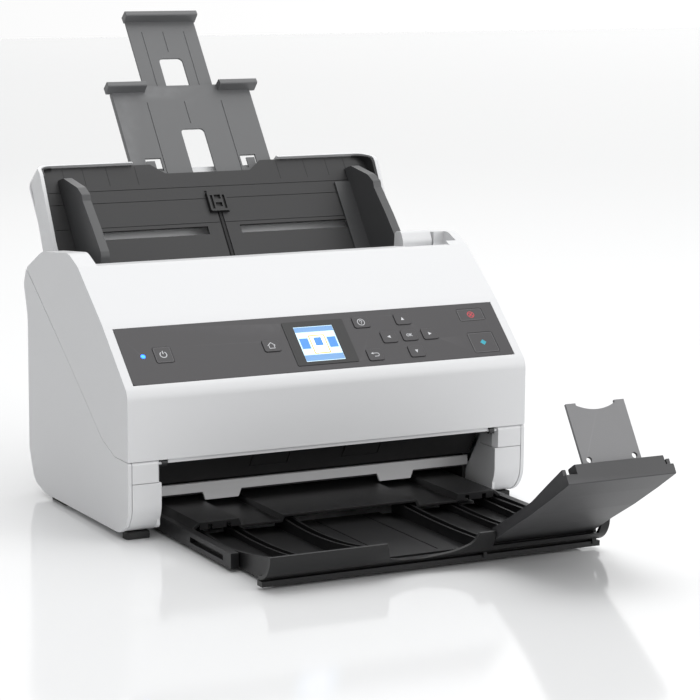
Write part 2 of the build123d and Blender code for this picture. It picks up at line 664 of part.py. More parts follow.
def side_frame():
    """Right steel side frame, which carries the shafts."""
    outline = [(66, 21.4), on_path(22, -3.2), on_path(116, -3.2, ), on_path(132, -14), (164, 128, 6),
               (164, 21.4)]
    plate = side_prism(outline, FRAME_INNER, FRAME_INNER + FRAME_WALL)
    for t in (EXIT_T, FEED_T, PICK_T):
        y, z = on_path(t, ROLLER_N)
        plate = plate + rod(y, z, SHAFT_R + 2, FRAME_INNER - 0.8, FRAME_INNER + FRAME_WALL)
        plate = plate - rod(y, z, SHAFT_R + RUNNING, FRAME_INNER - 2, FRAME_INNER + FRAME_WALL + 1)
    return plate


def side_frames():
    """Both frames: idler studs on the right one, the latch's catch pin on the left one."""
    right, left = both_sides(side_frame())
    y, z = MOTOR_AXIS
    right = right - rod(y, z, 4.0, FRAME_INNER - 1, FRAME_INNER + FRAME_WALL + 1)
    for y, z in (EXIT_IDLER_AXIS, PICK_IDLER_AXIS):
        right = right + rod(y, z, STUD_R, FRAME_INNER, GEAR_X + GEAR_WIDTH + 0.6)
    y, z = on_path(CATCH_T, CATCH_N)
    left = left + rod(y, z, CATCH_R, -130.5, -FRAME_INNER)
    return [right, left]


STUD_R = 2.0


def drive_shaft(t):
    y, z = on_path(t, ROLLER_N)
    return rod(y, z, SHAFT_R, -(FRAME_INNER + FRAME_WALL + 0.7), GEAR_X + GEAR_WIDTH + 0.6)


def lower_paper_guide():
    """Plate under the paper, with the ramp down to the exit bar."""
    wall = GUIDE_WALL
    low = on_path(20, -PAPER_GAP)
    low_back = on_path(20, -PAPER_GAP - wall)
    ramp = side_prism([(BAR_Y + 3.2, BAR_HIGH - 1.2), low, low_back, (BAR_Y + 3.2, BAR_HIGH - 3.4)],
                      -GUIDE_HALF, GUIDE_HALF)
    plate = block(PATH, (-GUIDE_HALF, GUIDE_HALF), (19.6, TRAY_LOW_T - 0.4), (-PAPER_GAP - wall, -PAPER_GAP))
    guide = ramp + plate
    pick = block(PATH, (13, 31), (PICK_T - ROLLER_R - 1, PICK_T + ROLLER_R + 0.6), (-20, 1))
    guide = guide - pick - mirror(pick, Plane.YZ)
    guide = guide - block(PATH, (-119.5, 119.5), (SCAN_LOW_T - 0.6, SCAN_HIGH_T + 0.6), (-8, 1))
    for low, high in TYRES:
        for t in (FEED_T, EXIT_T):
            hole = block(PATH, (low - 1, high + 1), (t - ROLLER_R - 1, t + ROLLER_R + 1), (-20, 1))
            guide = guide - hole - mirror(hole, Plane.YZ)
    return guide


def exit_guide_bar():
    """Pale bar across the output slot, with two tabs that reach into the tray's channels."""
    bar = block(Plane.XY, (-123.2, 123.2), (BAR_Y, BAR_Y + 3.0), (BAR_LOW, BAR_HIGH))
    tab = prism(Plane.XZ, [(TAB_INNER - 2.4, BAR_LOW + 1), (TAB_INNER, BAR_TAB_LOW),
                           (TAB_OUTER, BAR_TAB_LOW), (TAB_OUTER + 2.4, BAR_LOW + 1)],
                -BAR_Y - 2.2, -BAR_Y)
    return joined([bar] + both_sides(tab))


def feet():
    """Rubber pads: a pair at the front corners and a longer pair at the back."""
    front = Pos(136.0, 15.5, FRONT_FOOT / 2) * Box(17, 9, FRONT_FOOT)
    rear = Pos(139.5, 132.0, REAR_FOOT / 2) * Box(10, 28, REAR_FOOT)
    pads = []
    for pad in (front, rear):
        pad = fillet(pad.edges().filter_by(Axis.Z), 2.5)
        pads += both_sides(pad)
    return pads


# ---------------------------------------------------------------- drive
GEAR_X = FRAME_INNER + FRAME_WALL + 1.2


def gear_radius(teeth):
    return GEAR_MODULE * teeth / 2


def step_from(centre, angle, distance):
    return (centre[0] + distance * cos(radians(angle)), centre[1] + distance * sin(radians(angle)))


FEED_AXIS = on_path(FEED_T, ROLLER_N)
EXIT_AXIS = on_path(EXIT_T, ROLLER_N)
PICK_AXIS = on_path(PICK_T, ROLLER_N)
EXIT_TEETH = round((FEED_T - EXIT_T) * 2 / GEAR_MODULE) - FEED_TEETH - 2 * EXIT_IDLER_TEETH
EXIT_IDLER_AXIS = step_from(FEED_AXIS, PATH_ANGLE + 180, gear_radius(FEED_TEETH + EXIT_IDLER_TEETH))
PICK_IDLER_AXIS = step_from(FEED_AXIS, PATH_ANGLE, gear_radius(FEED_TEETH + PICK_IDLER_TEETH))
MOTOR_AXIS = step_from(FEED_AXIS, MOTOR_ANGLE, gear_radius(FEED_TEETH + PINION_TEETH))


def involute(angle):
    return tan(angle) - angle


def tooth_outline(teeth, module):
    """One tooth's flank as (radius, half angle) from the root to the tip."""
    pressure = radians(20)
    pitch = module * teeth / 2
    base = pitch * cos(pressure)
    tip = pitch + module * 0.95
    half = pi / (2 * teeth) - GEAR_BACKLASH / (4 * pitch) * 2
    steps = 4
    flank = []
    for step in range(steps + 1):
        radius = base + (tip - base) * step / steps
        flank.append((radius, half + involute(pressure) - involute(acos(min(1, base / radius)))))
    return flank


def gear_face(teeth, module, first_tooth):
    """Spur gear outline with a tooth centred on the angle first_tooth, in degrees."""
    flank = tooth_outline(teeth, module)
    root = module * teeth / 2 - 1.3 * module
    points = []
    for tooth in range(teeth):
        centre = radians(first_tooth) + 2 * pi * tooth / teeth
        low = flank[0][1]
        rising = [(root, -low)] + [(radius, -half) for radius, half in flank]
        falling = [(radius, half) for radius, half in reversed(flank)] + [(root, low)]
        for radius, turn in rising + falling:
            points.append((radius * cos(centre + turn), radius * sin(centre + turn)))
    return make_face(Polyline(*points, close=True))


def meshed_tooth(angle, teeth, first_tooth, next_teeth):
    """Where the next gear has a tooth, for a gear that lies at an angle from this one."""
    share = ((angle - first_tooth) * teeth / 360) % 1
    return angle + 180 + (share + 0.5) * 360 / next_teeth


def gear(axis, teeth, first_tooth, bore):
    wheel = extrude(gear_face(teeth, GEAR_MODULE, first_tooth), GEAR_WIDTH)
    wheel = Plane(origin=(GEAR_X, axis[0], axis[1]), x_dir=(0, 1, 0), z_dir=(1, 0, 0)) * wheel
    return wheel - rod(axis[0], axis[1], bore, GEAR_X - 1, GEAR_X + GEAR_WIDTH + 1)


FEED_TOOTH = PATH_ANGLE
EXIT_IDLER_TOOTH = meshed_tooth(PATH_ANGLE + 180, FEED_TEETH, FEED_TOOTH, EXIT_IDLER_TEETH)
EXIT_TOOTH = meshed_tooth(PATH_ANGLE + 180, EXIT_IDLER_TEETH, EXIT_IDLER_TOOTH, EXIT_TEETH)
PICK_IDLER_TOOTH = meshed_tooth(PATH_ANGLE, FEED_TEETH, FEED_TOOTH, PICK_IDLER_TEETH)
PICK_TOOTH = meshed_tooth(PATH_ANGLE, PICK_IDLER_TEETH, PICK_IDLER_TOOTH, PICK_TEETH)
PINION_TOOTH = meshed_tooth(MOTOR_ANGLE, FEED_TEETH, FEED_TOOTH, PINION_TEETH)


def pickup_roller():
    """Pick-up roller with its shaft and its gear, moulded in one piece."""
    y, z = PICK_AXIS
    wheel = gear(PICK_AXIS, PICK_TEETH, PICK_TOOTH, SHAFT_R - 0.5)
    sleeves = both_sides(rod(y, z, ROLLER_R, 14, 30))
    return joined([drive_shaft(PICK_T), wheel] + sleeves)


def feed_motor():
    y, z = MOTOR_AXIS
    body = rod(y, z, MOTOR_R, FRAME_INNER - MOTOR_LENGTH, FRAME_INNER)
    return body - rod(y, z, 4.2, FRAME_INNER - 3, FRAME_INNER + 1)


def motor_shaft():
    y, z = MOTOR_AXIS
    return rod(y, z, 1.5, FRAME_INNER - 2.6, GEAR_X + GEAR_WIDTH + 0.4)


# ---------------------------------------------------------------- input tray
def corner_band(half, top_t, radius, wall, low, high):
    """Upright band along both sides and the round-cornered top of a tray or a shell."""
    outer = [(-half, 128), (half, 128), (half, top_t, radius), (-half, top_t, radius)]
    inner = [(-half + wall, 100), (half - wall, 100), (half - wall, top_t - wall, radius - wall),
             (-half + wall, top_t - wall, radius - wall)]
    return prism(PATH, outer, low, high) - prism(PATH, inner, low - 1, high + 1)


def input_tray():
    """Dark tray plate with its slots, seams, centre groove and the cut-out in its top edge."""
    outline = [(-TRAY_HALF, TRAY_LOW_T), (TRAY_HALF, TRAY_LOW_T), (TRAY_HALF, TRAY_TOP_T, TRAY_CORNER),
               (NOTCH_TOP_HALF, TRAY_TOP_T, 2), (NOTCH_LOW_HALF, TRAY_TOP_T - NOTCH_DEPTH, 2),
               (-NOTCH_LOW_HALF, TRAY_TOP_T - NOTCH_DEPTH, 2), (-NOTCH_TOP_HALF, TRAY_TOP_T, 2),
               (-TRAY_HALF, TRAY_TOP_T, TRAY_CORNER)]
    tray = prism(PATH, outline, -TRAY_WALL, 0)
    for side in (-1, 1):
        low, high = sorted((side * SLOT_INNER, side * SLOT_OUTER))
        tray = tray - block(PATH, (low, high), (SLOT_T - SLOT_WIDTH / 2, SLOT_T + SLOT_WIDTH / 2), (-5, 1))
    seam_half = TRAY_HALF - 1.6
    for t in (189.2, 209.2, 219.2):
        tray = tray - block(PATH, (-seam_half, seam_half), (t - 0.25, t + 0.25), (-0.4, 1))
    groove = block(PATH, (-GROOVE_WIDTH / 2, GROOVE_WIDTH / 2), (TRAY_LOW_T - 1, CLIP_T - 9), (-1.0, 1))
    pocket = block(PATH, (-7.7, 7.7), (CLIP_T - 9.2, CLIP_T + 9.2), (-0.8, 1))
    tray = tray - groove - pocket
    hub = PATH * Pos(0, SLOT_T, -TRAY_WALL - RACK_THICK / 2 - 0.1) * Cylinder(PINION_PIN_R, RACK_THICK + 0.6)
    band = corner_band(TRAY_HALF, TRAY_TOP_T, TRAY_CORNER, 1.4, -TRAY_WALL, 14)
    end = TRAY_TOP_T + 0.1
    lining = band & path_prism([(139, 0.4), (178, 2.4), (212, 7.9), (231, 10.8, 8), (end, 0.4, 1),
                                (end, -TRAY_WALL), (139, -TRAY_WALL)], -TRAY_HALF, TRAY_HALF)
    lining = lining - block(PATH, (-119, 119), (200, 250), (-20, 20))
    return joined([tray, hub] + lining.solids())


CLIP_T = 206.3
PINION_PIN_R = 2.0


def centre_clip():
    body = prism(PATH, [(-7.4, CLIP_T - 9.0, 1.5), (7.4, CLIP_T - 9.0, 1.5), (7.4, CLIP_T + 9.0, 3),
                        (-7.4, CLIP_T + 9.0, 3)], -0.8, 2.6)
    for low, high in ((-5.6, -3.8), (3.8, 5.6)):
        body = body - block(PATH, (low, high), (CLIP_T - 7.2, CLIP_T + 4), (0.9, 4))
    body = body - block(PATH, (-2.4, 2.4), (CLIP_T + 0.8, CLIP_T + 4.2), (0.9, 4))
    return body - block(PATH, (-2.4, 2.4), (CLIP_T - 5.6, CLIP_T - 2.2), (0.9, 4))


def tray_back_shell():
    """White shell around and behind the tray; the sliding supports run inside it."""
    inside = -SHELL_DEPTH
    wall = SHELL_HALF - TRAY_HALF - SHELL_TRAY_GAP
    top = TRAY_TOP_T + SHELL_TRAY_GAP + wall
    outer_side = [(139, 1.0), (178, 3.0), (212, 8.6), (231, 11.6, 8), (top, 0.6, 2), (top, -6.0, 3),
                  (204, -12.6, 20), (178, -18.5, 10), (164.3, -26.2, 6), (160, -26.2)]
    band = corner_band(SHELL_HALF, top, SHELL_CORNER, wall, -30, 14)
    band = band & path_prism(outer_side, -SHELL_HALF, SHELL_HALF)
    notch = NOTCH_TOP_HALF + 14
    band = band - block(PATH, (-notch, notch), (200, 250), (-20, 20))
    rim = block(PATH, (TRAY_HALF - 3, SHELL_HALF - 1), (146, TRAY_TOP_T - 12),
                (-TRAY_WALL - 2.4, -TRAY_WALL - 0.1))
    back = path_prism([(top, inside), (top, inside - 1.6, 1), (204, inside - 2.2), (178, -18.6, 10),
                       (164.3, -26.2, 6), (160, -26.2), (160, -24.0), (163.6, -24.0, 5), (176, -16.8, 10),
                       (184, inside)], -SHELL_HALF, SHELL_HALF)
    plan = prism(PATH, [(-SHELL_HALF, 120), (SHELL_HALF, 120), (SHELL_HALF, top, SHELL_CORNER),
                        (-SHELL_HALF, top, SHELL_CORNER)], -30, 20)
    return joined([back & plan] + band.solids() + both_sides(rim))


def edge_guide_body():
    """Right edge guide: tall wall, foot plate and the post that reaches its rack."""
    x = GUIDE_INNER
    wall = path_prism([(SLOT_T - 49, 0.5), (229, 0.5), (225, 10.4, 3), (206, 29, 8), (197.6, 33.4, 3),
                       (193.5, 32.0), (168, 36.4), (147, 38.9, 6), (141, 33, 6)], x, x + GUIDE_THICK)
    foot = path_prism([(SLOT_T - 49, 0.4), (217.3, 0.4), (217.3, 1.6), (SLOT_T - 49, 1.6)],
                      x - FOOT_REACH, x + 1)
    post = block(PATH, (x - 11, x - 1), (SLOT_T - 2.6, SLOT_T + 2.6), (-TRAY_WALL - 0.3, 1))
    return joined([wall, foot, post])


RACK_PITCH_R = RACK_MODULE * RACK_TEETH / 2
RACK_TOP_N = -TRAY_WALL - 0.3


def guide_rack():
    """Right guide's rack: a toothed bar below the slot, meshing with the pinion's lower side."""
    pitch = pi * RACK_MODULE
    reach = GUIDE_TRAVEL + 8
    pitch_t = SLOT_T - RACK_PITCH_R
    low_t = pitch_t - RACK_MODULE - RACK_DEPTH
    bar = block(PATH, (-8, GUIDE_INNER - 1), (low_t, pitch_t - 1.25 * RACK_MODULE),
                (RACK_TOP_N - RACK_THICK, RACK_TOP_N))
    pad = block(PATH, (GUIDE_INNER - 11, GUIDE_INNER - 1), (pitch_t - 2, SLOT_T + 2.6),
                (RACK_TOP_N - RACK_THICK, RACK_TOP_N))
    teeth = []
    half_root, half_tip = pitch / 4 + 0.29 - 0.08, pitch / 4 - 0.29 - 0.08
    base_t = pitch_t - 1.25 * RACK_MODULE - 0.2
    for index in range(ceil(-6 / pitch), int(reach / pitch)):
        x = (index + RACK_PHASE) * pitch
        teeth.append((x - half_root * 1.25, base_t))
        teeth.append((x - half_tip, pitch_t + 0.95 * RACK_MODULE))
        teeth.append((x + half_tip, pitch_t + 0.95 * RACK_MODULE))
        teeth.append((x + half_root * 1.25, base_t))
    outline = teeth + [(teeth[-1][0], base_t - 0.8), (teeth[0][0], base_t - 0.8)]
    comb = PATH.offset(RACK_TOP_N - RACK_THICK) * extrude(make_face(Polyline(*outline, close=True)),
                                                          RACK_THICK)
    return joined([bar, pad, comb])


RACK_PHASE = 0.5


def edge_guides():
    """Right and left guides; the left one's rack is the right one's turned about the pinion."""
    body = edge_guide_body()
    rack = guide_rack()
    pivot = Plane(origin=(PATH * Pos(0, SLOT_T)).position, x_dir=PATH.x_dir, z_dir=PATH.z_dir).location
    turned = pivot * Rot(0, 0, 180) * pivot.inverse() * rack
    return body + rack, mirror(body, Plane.YZ) + turned


def guide_pinion():
    """Pinion between the racks, with a gap of its teeth facing a tooth of each rack."""
    turn = 360 / RACK_TEETH
    wheel = extrude(gear_face(RACK_TEETH, RACK_MODULE, 90), RACK_THICK)
    wheel = PATH.offset(RACK_TOP_N - RACK_THICK) * Pos(0, SLOT_T) * wheel
    hole = PATH * Pos(0, SLOT_T, RACK_TOP_N) * Cylinder(PINION_PIN_R + RUNNING, 10)
    return wheel - hole


def support_lip(half, top_t, plate_n, gap_half):
    """Rolled lip across a support's top edge, in one piece or in two with a gap between."""
    outline = [(top_t - 5.5, plate_n - 1.2), (top_t - 4.0, plate_n + LIP_HEIGHT, 1.2),
               (top_t + 0.5, plate_n + LIP_HEIGHT - 0.6, 1.2), (top_t, plate_n - SUPPORT_WALL)]
    if gap_half == 0:
        return [path_prism(outline, -half, half)]
    return both_sides(path_prism(outline, gap_half, half))


def support_lower():
    """Lower sliding support: plate, side rails, lips, slot and the two catch windows."""
    top = SUPPORT_TOP_T
    low = top - SUPPORT_LENGTH
    n = SUPPORT_N
    plate = block(PATH, (-SUPPORT_HALF, SUPPORT_HALF), (low, top), (n - SUPPORT_WALL, n))
    rail = block(PATH, (SUPPORT_HALF - 2, SUPPORT_HALF), (low, top - 4), (n - SUPPORT_RAIL, n))
    runner = block(PATH, (UPPER_HALF + SLIDE_GAP, UPPER_HALF + SLIDE_GAP + 1.6), (low + 4, top - 3),
                   (n - SUPPORT_RAIL, n))
    lips = support_lip(SUPPORT_HALF + 4.5, top, n, UPPER_HALF + 1.6)
    support = joined([plate] + both_sides(rail) + both_sides(runner) + lips)
    support = support - prism(PATH, [(-9.3, low - 1), (9.3, low - 1), (9.3, 271.5, 3.5), (-9.3, 271.5, 3.5)],
                              n - 8, n + 1)
    for side in (-1, 1):
        x = side * 37.5
        support = support - block(PATH, (x - 6.2, x + 6.2), (236.5, 247.5), (n - 3, n + 1))
        tongue = block(PATH, sorted((side * 36.2, side * 42.8)), (236, 245.4), (n - SUPPORT_WALL, n - 0.6))
        support = support + tongue
    for x in (-29.6, 0, 29.6):
        groove = block(PATH, (x - 0.3, x + 0.3), (276 if x == 0 else 232, 295), (n - 0.5, n + 1))
        support = support - groove
    return support


def support_upper():
    """Upper sliding support, behind the lower one's plate."""
    n = SUPPORT_N - SUPPORT_WALL - 0.3
    top = UPPER_TOP_T
    low = top - UPPER_LENGTH
    plate = block(PATH, (-UPPER_HALF, UPPER_HALF), (low, top), (n - SUPPORT_WALL, n))
    lips = support_lip(UPPER_HALF + 1.2, top, n, 0)
    support = joined([plate] + lips)
    support = support - prism(PATH, [(-9.3, low - 1), (9.3, low - 1), (9.3, 334.4, 3.5), (-9.3, 334.4, 3.5)],
                              n - 8, n + 1)
    for x in (-16.9, 0, 16.9):
        groove = block(PATH, (x - 0.3, x + 0.3), (340 if x == 0 else low + 36, 358), (n - 0.5, n + 1))
        support = support - groove
    return support


# ---------------------------------------------------------------- output tray
def output_tray():
    """Deck with two lower channels, a step-down front edge and the two outer rails."""
    high, mid, low, wall = DECK_HIGH, DECK_MID, DECK_LOW, DECK_WALL
    inner, outer = CHANNEL_INNER, CHANNEL_OUTER
    half = [(0, mid), (inner, mid), (inner + 1.5, low), (outer - 1.5, low), (outer, high),
            (109.5, high), (RAIL_INNER + 1.5, RAIL_HIGH), (RAIL_OUTER, RAIL_HIGH), (RAIL_OUTER, RAIL_LOW),
            (RAIL_INNER, RAIL_LOW), (RAIL_INNER, RAIL_HIGH - wall), (108.6, high - wall),
            (outer + 1.4, high - wall), (outer, low - wall), (inner - 0.1, low - wall),
            (inner - 1.6, mid - wall), (0, mid - wall)]
    deck = prism(Plane.XZ, half, -DECK_BACK, -DECK_FRONT)
    deck = deck + mirror(deck, Plane.YZ)
    rail = block(Plane.XY, (RAIL_INNER, RAIL_OUTER), (RAIL_FRONT, DECK_FRONT + 2), (RAIL_LOW, RAIL_HIGH))
    rail = rail - block(Plane.XY, (RAIL_INNER + 2.0, RAIL_OUTER + 1), (RAIL_FRONT + 12, DECK_FRONT - 6),
                        (RAIL_LOW + 3.4, RAIL_HIGH - 3.4))
    front = block(Plane.XY, (outer, 109.0), (DECK_FRONT, DECK_FRONT + 1.8), (high - 4.9, high - 0.2))
    for x in (88.5, 101.5):
        slot = block(Plane.XY, (x - 1.4, x + 1.4), (DECK_FRONT - 1, DECK_FRONT + 3), (high - 6, high - 1.6))
        front = front - slot
    return joined([deck] + both_sides(rail) + both_sides(front))


def dipped_wall(x_low, x_high, back, front, back_z, dip_z, front_z):
    """Upright rib whose top edge sags between its two ends."""
    top = Spline((front, front_z), ((front + back) / 2, dip_z), (back, back_z))
    sides = Polyline((back, back_z), (back, FLOOR_LOW + 0.4), (front, FLOOR_LOW + 0.4), (front, front_z))
    return SIDE.offset(x_low) * extrude(make_face([top, *sides.edges()]), x_high - x_low)


def output_extension():
    """Second stage: floor, sagging ribs, rolled front wall, finger dip and the flap's seat."""
    back = -8.0
    floor = block(Plane.XY, (-111.8, 111.8), (LIP_FRONT + 2, back), (FLOOR_LOW, FLOOR_HIGH))
    arc = 90
    outer = [(TUB_Y - TUB_R * cos(radians(a)), TUB_Z - TUB_R * sin(radians(a))) for a in (0, 45, arc)]
    inner_r = TUB_R - TUB_WALL
    inner = [(TUB_Y - inner_r * cos(radians(a)), TUB_Z - inner_r * sin(radians(a))) for a in (arc, 45, 0)]
    edges = [ThreePointArc(*outer), Line(outer[-1], inner[0]), ThreePointArc(*inner),
             Line(inner[-1], outer[0])]
    tub = SIDE.offset(-TUB_HALF) * extrude(make_face(edges), 2 * TUB_HALF)
    web = block(Plane.XY, (-111.8, 111.8), (TUB_Y - 1.2, TUB_Y + 1.2), (FLOOR_LOW, TUB_Z - TUB_R + 1.6))
    lip = block(Plane.XY, (-TUB_HALF, TUB_HALF), (LIP_FRONT, TUB_Y + 1.2), (FLOOR_LOW, 5.6))
    pieces = [floor, web, lip, tub]
    pieces.append(dipped_wall(-111.8, -109.4, 18, TUB_Y, 10.4, 9.6, 18.5))
    pieces.append(dipped_wall(-105.6, -104.0, back, TUB_Y, 10.0, 8.0, 14.0))
    for low, back_z, dip_z, front_z in ((39.6, 12.6, 10.2, 17.6), (45.8, 12.6, 10.2, 17.6),
                                        (77.0, 9.0, 7.6, 14.0), (82.8, 9.0, 7.6, 14.0)):
        pieces.append(dipped_wall(-low - 1.6, -low, back, TUB_Y, back_z, dip_z, front_z))
        pieces.append(dipped_wall(low, low + 1.6, back, FLAP_HINGE_Y + 8, back_z, dip_z, 11.6))
    pieces.append(dipped_wall(103.6, 105.2, back, FLAP_HINGE_Y + 8, 9.6, 8.0, 9.0))
    pieces.append(side_prism([(18, FLOOR_LOW + 0.4), (18, 10.2), (-20, 10.2, 60), (-68, 11.0, 30),
                              (-98, 8.6, 20), (-128, 5.6), (-128, FLOOR_LOW + 0.4)], 109.4, 111.8))
    trough = block(Plane.XY, (-30, 30), (-118, back), (FLOOR_HIGH - 0.5, FLOOR_HIGH + 1.4))
    pieces.append(trough)
    whole = joined(pieces)
    dip = prism(Plane.XZ, [(-41.5, 32), (-40.4, 22), (-37.4, 12.6, 4), (-28, 10.4, 12), (-12, 9.2, 30),
                           (8, 11.8, 30), (20.4, 16.6, 10), (25, 24), (27, 32)], 128, 160)
    whole = whole - dip
    seat = block(Plane.XY, (FLAP_LEFT - 0.8, FLAP_RIGHT + 0.8), (-160, -128), (12.9, 30))
    whole = whole - seat
    whole = whole - rod(FLAP_HINGE_Y, FLAP_HINGE_Z, 3.5, FLAP_LEFT - 0.7, FLAP_RIGHT + 0.7)
    for x in (-19.5, 16.7):
        whole = whole - block(Plane.XY, (x - 0.5, x + 0.5), (-112, back + 1), (FLOOR_HIGH + 0.7, 8))
    ears = []
    for low, high in flap_ears():
        ear = side_prism([(FLAP_HINGE_Y - 3.4, 4), (FLAP_HINGE_Y - 3.4, FLAP_HINGE_Z + 3.0, 3),
                          (FLAP_HINGE_Y + 3.4, FLAP_HINGE_Z + 3.0, 3), (FLAP_HINGE_Y + 6, 4)], low, high)
        ears.append(ear)
    whole = joined([whole] + ears)
    return whole - rod(FLAP_HINGE_Y, FLAP_HINGE_Z, FLAP_PIN_R + RUNNING, FLAP_LEFT - 4.4, FLAP_RIGHT + 4.4)


def flap_ears():
    """X spans of the two ears that hold the flap's pin."""
    return [(FLAP_LEFT - 3.4, FLAP_LEFT - 0.7), (FLAP_RIGHT + 0.7, FLAP_RIGHT + 3.4)]


# The flap's own plane: local x along X, local y from the hinge to the tip, local z on the paper's side.
FLAP_DIR = (0, -cos(radians(FLAP_ANGLE)), sin(radians(FLAP_ANGLE)))
FLAP_SIDE = Plane(origin=(0, FLAP_HINGE_Y, FLAP_HINGE_Z), x_dir=FLAP_DIR, z_dir=(-1, 0, 0))


def flap_point(along, above):
    """Y and Z of a point on the flap: distance from the hinge, and height on the paper's side."""
    a = radians(FLAP_ANGLE)
    return (FLAP_HINGE_Y - along * cos(a) + above * sin(a), FLAP_HINGE_Z + along * sin(a) + above * cos(a))


STOP_ALONG = FLAP_LENGTH - 5.0
STOP_ABOVE = 5.2


def stopper_flap():
    """Long flap: skin on its outer side, two side walls, a thick tip and three low ribs."""
    def strip(outline, low, high):
        points = [(*flap_point(p[0], p[1]), *p[2:]) for p in outline]
        return side_prism(points, low, high)

    bottom = -1.6
    tip_low = -4.2
    outside = [(3, bottom), (30, -2.3, 60), (58, -3.9, 60), (88, -4.4, 60), (FLAP_LENGTH - 3, tip_low)]
    inside = [(FLAP_LENGTH - 3, tip_low + FLAP_SKIN), (88, -4.4 + FLAP_SKIN, 60), (58, -3.9 + FLAP_SKIN, 60),
              (30, -2.3 + FLAP_SKIN, 60), (3, bottom + FLAP_SKIN)]
    skin = strip(outside + inside, FLAP_LEFT, FLAP_RIGHT)
    side = outside + [(FLAP_LENGTH - 3, 6.6), (89, 5.0, 30), (65, 2.6, 40), (39, 3.8, 30), (13, 5.4, 5),
                      (3, 2.4)]
    left = strip(side, FLAP_LEFT, FLAP_LEFT + 2.4)
    right = strip(side, FLAP_RIGHT - 2.4, FLAP_RIGHT)
    tip = strip([(FLAP_LENGTH - 9, tip_low), (FLAP_LENGTH, tip_low, 0.8), (FLAP_LENGTH, 2.6, 1.2),
                 (FLAP_LENGTH - 9, 2.6)], FLAP_LEFT, FLAP_RIGHT)
    crown = strip([(FLAP_LENGTH - 9, 0), (FLAP_LENGTH, 0), (FLAP_LENGTH, CROWN, 1.0),
                   (FLAP_LENGTH - 9, CROWN, 1)], FLAP_LEFT + 8, FLAP_RIGHT - 5.5)
    barrel = rod(FLAP_HINGE_Y, FLAP_HINGE_Z, 2.9, FLAP_LEFT, FLAP_RIGHT)
    neck = strip([(0, bottom), (6, bottom), (6, 2.4), (0, 2.4)], FLAP_LEFT, FLAP_RIGHT)
    end = FLAP_LENGTH - 6
    ribs = [strip([(4, 0.4), (58, -2.4), (end, -2.6), (end, 0.6), (4, 2.0)], x, x + 1.4)
            for x in (47.0, 97.0, 104.0)]
    flap = joined([skin, left, right, tip, crown, barrel, neck] + ribs)
    y, z = flap_point(STOP_ALONG, STOP_ABOVE)
    low, high = STOP_ALONG - 6, STOP_ALONG + 2.6
    well = strip([(low, 1.6), (high, 1.6), (high, 12), (low, 12)], STOP_LEFT - 0.6, STOP_RIGHT + 0.6)
    flap = flap - well
    flap = flap - rod(y, z, STOP_PIN_R + RUNNING, STOP_LEFT - 5, STOP_RIGHT + 5)
    return flap + rod(FLAP_HINGE_Y, FLAP_HINGE_Z, FLAP_PIN_R, FLAP_LEFT - 3.2, FLAP_RIGHT + 3.2)


def stopper_plate():
    """Plate that stands square to the flap, with a hollow in its top edge and two small holes."""
    y, z = flap_point(STOP_ALONG, STOP_ABOVE)
    a = radians(FLAP_ANGLE)
    plane = Plane(origin=(0, y, z), x_dir=(1, 0, 0), z_dir=(0, cos(a), -sin(a)))
    up = plane.y_dir.Z > 0
    sign = 1 if up else -1
    thick = (-STOP_WALL / 2, STOP_WALL / 2)
    plate = block(plane, (STOP_LEFT, STOP_RIGHT), sorted((0, sign * STOP_LENGTH)), thick)
    middle = (STOP_LEFT + STOP_RIGHT) / 2
    hollow = plane * Pos(middle, sign * (STOP_LENGTH + 24.8)) * Cylinder(29.7, 10)
    plate = plate - (hollow & block(plane, (middle - 13.8, middle + 13.8), (-90, 90), (-5, 5)))
    for x in (STOP_LEFT + 5.0, STOP_RIGHT - 4.2):
        plate = plate - plane * Pos(x, sign * 6.3) * Cylinder(1.9, 10)
    barrel = rod(y, z, 2.2, STOP_LEFT, STOP_RIGHT)
    return joined([plate, barrel, rod(y, z, STOP_PIN_R, STOP_LEFT - 3.5, STOP_RIGHT + 3.5)])


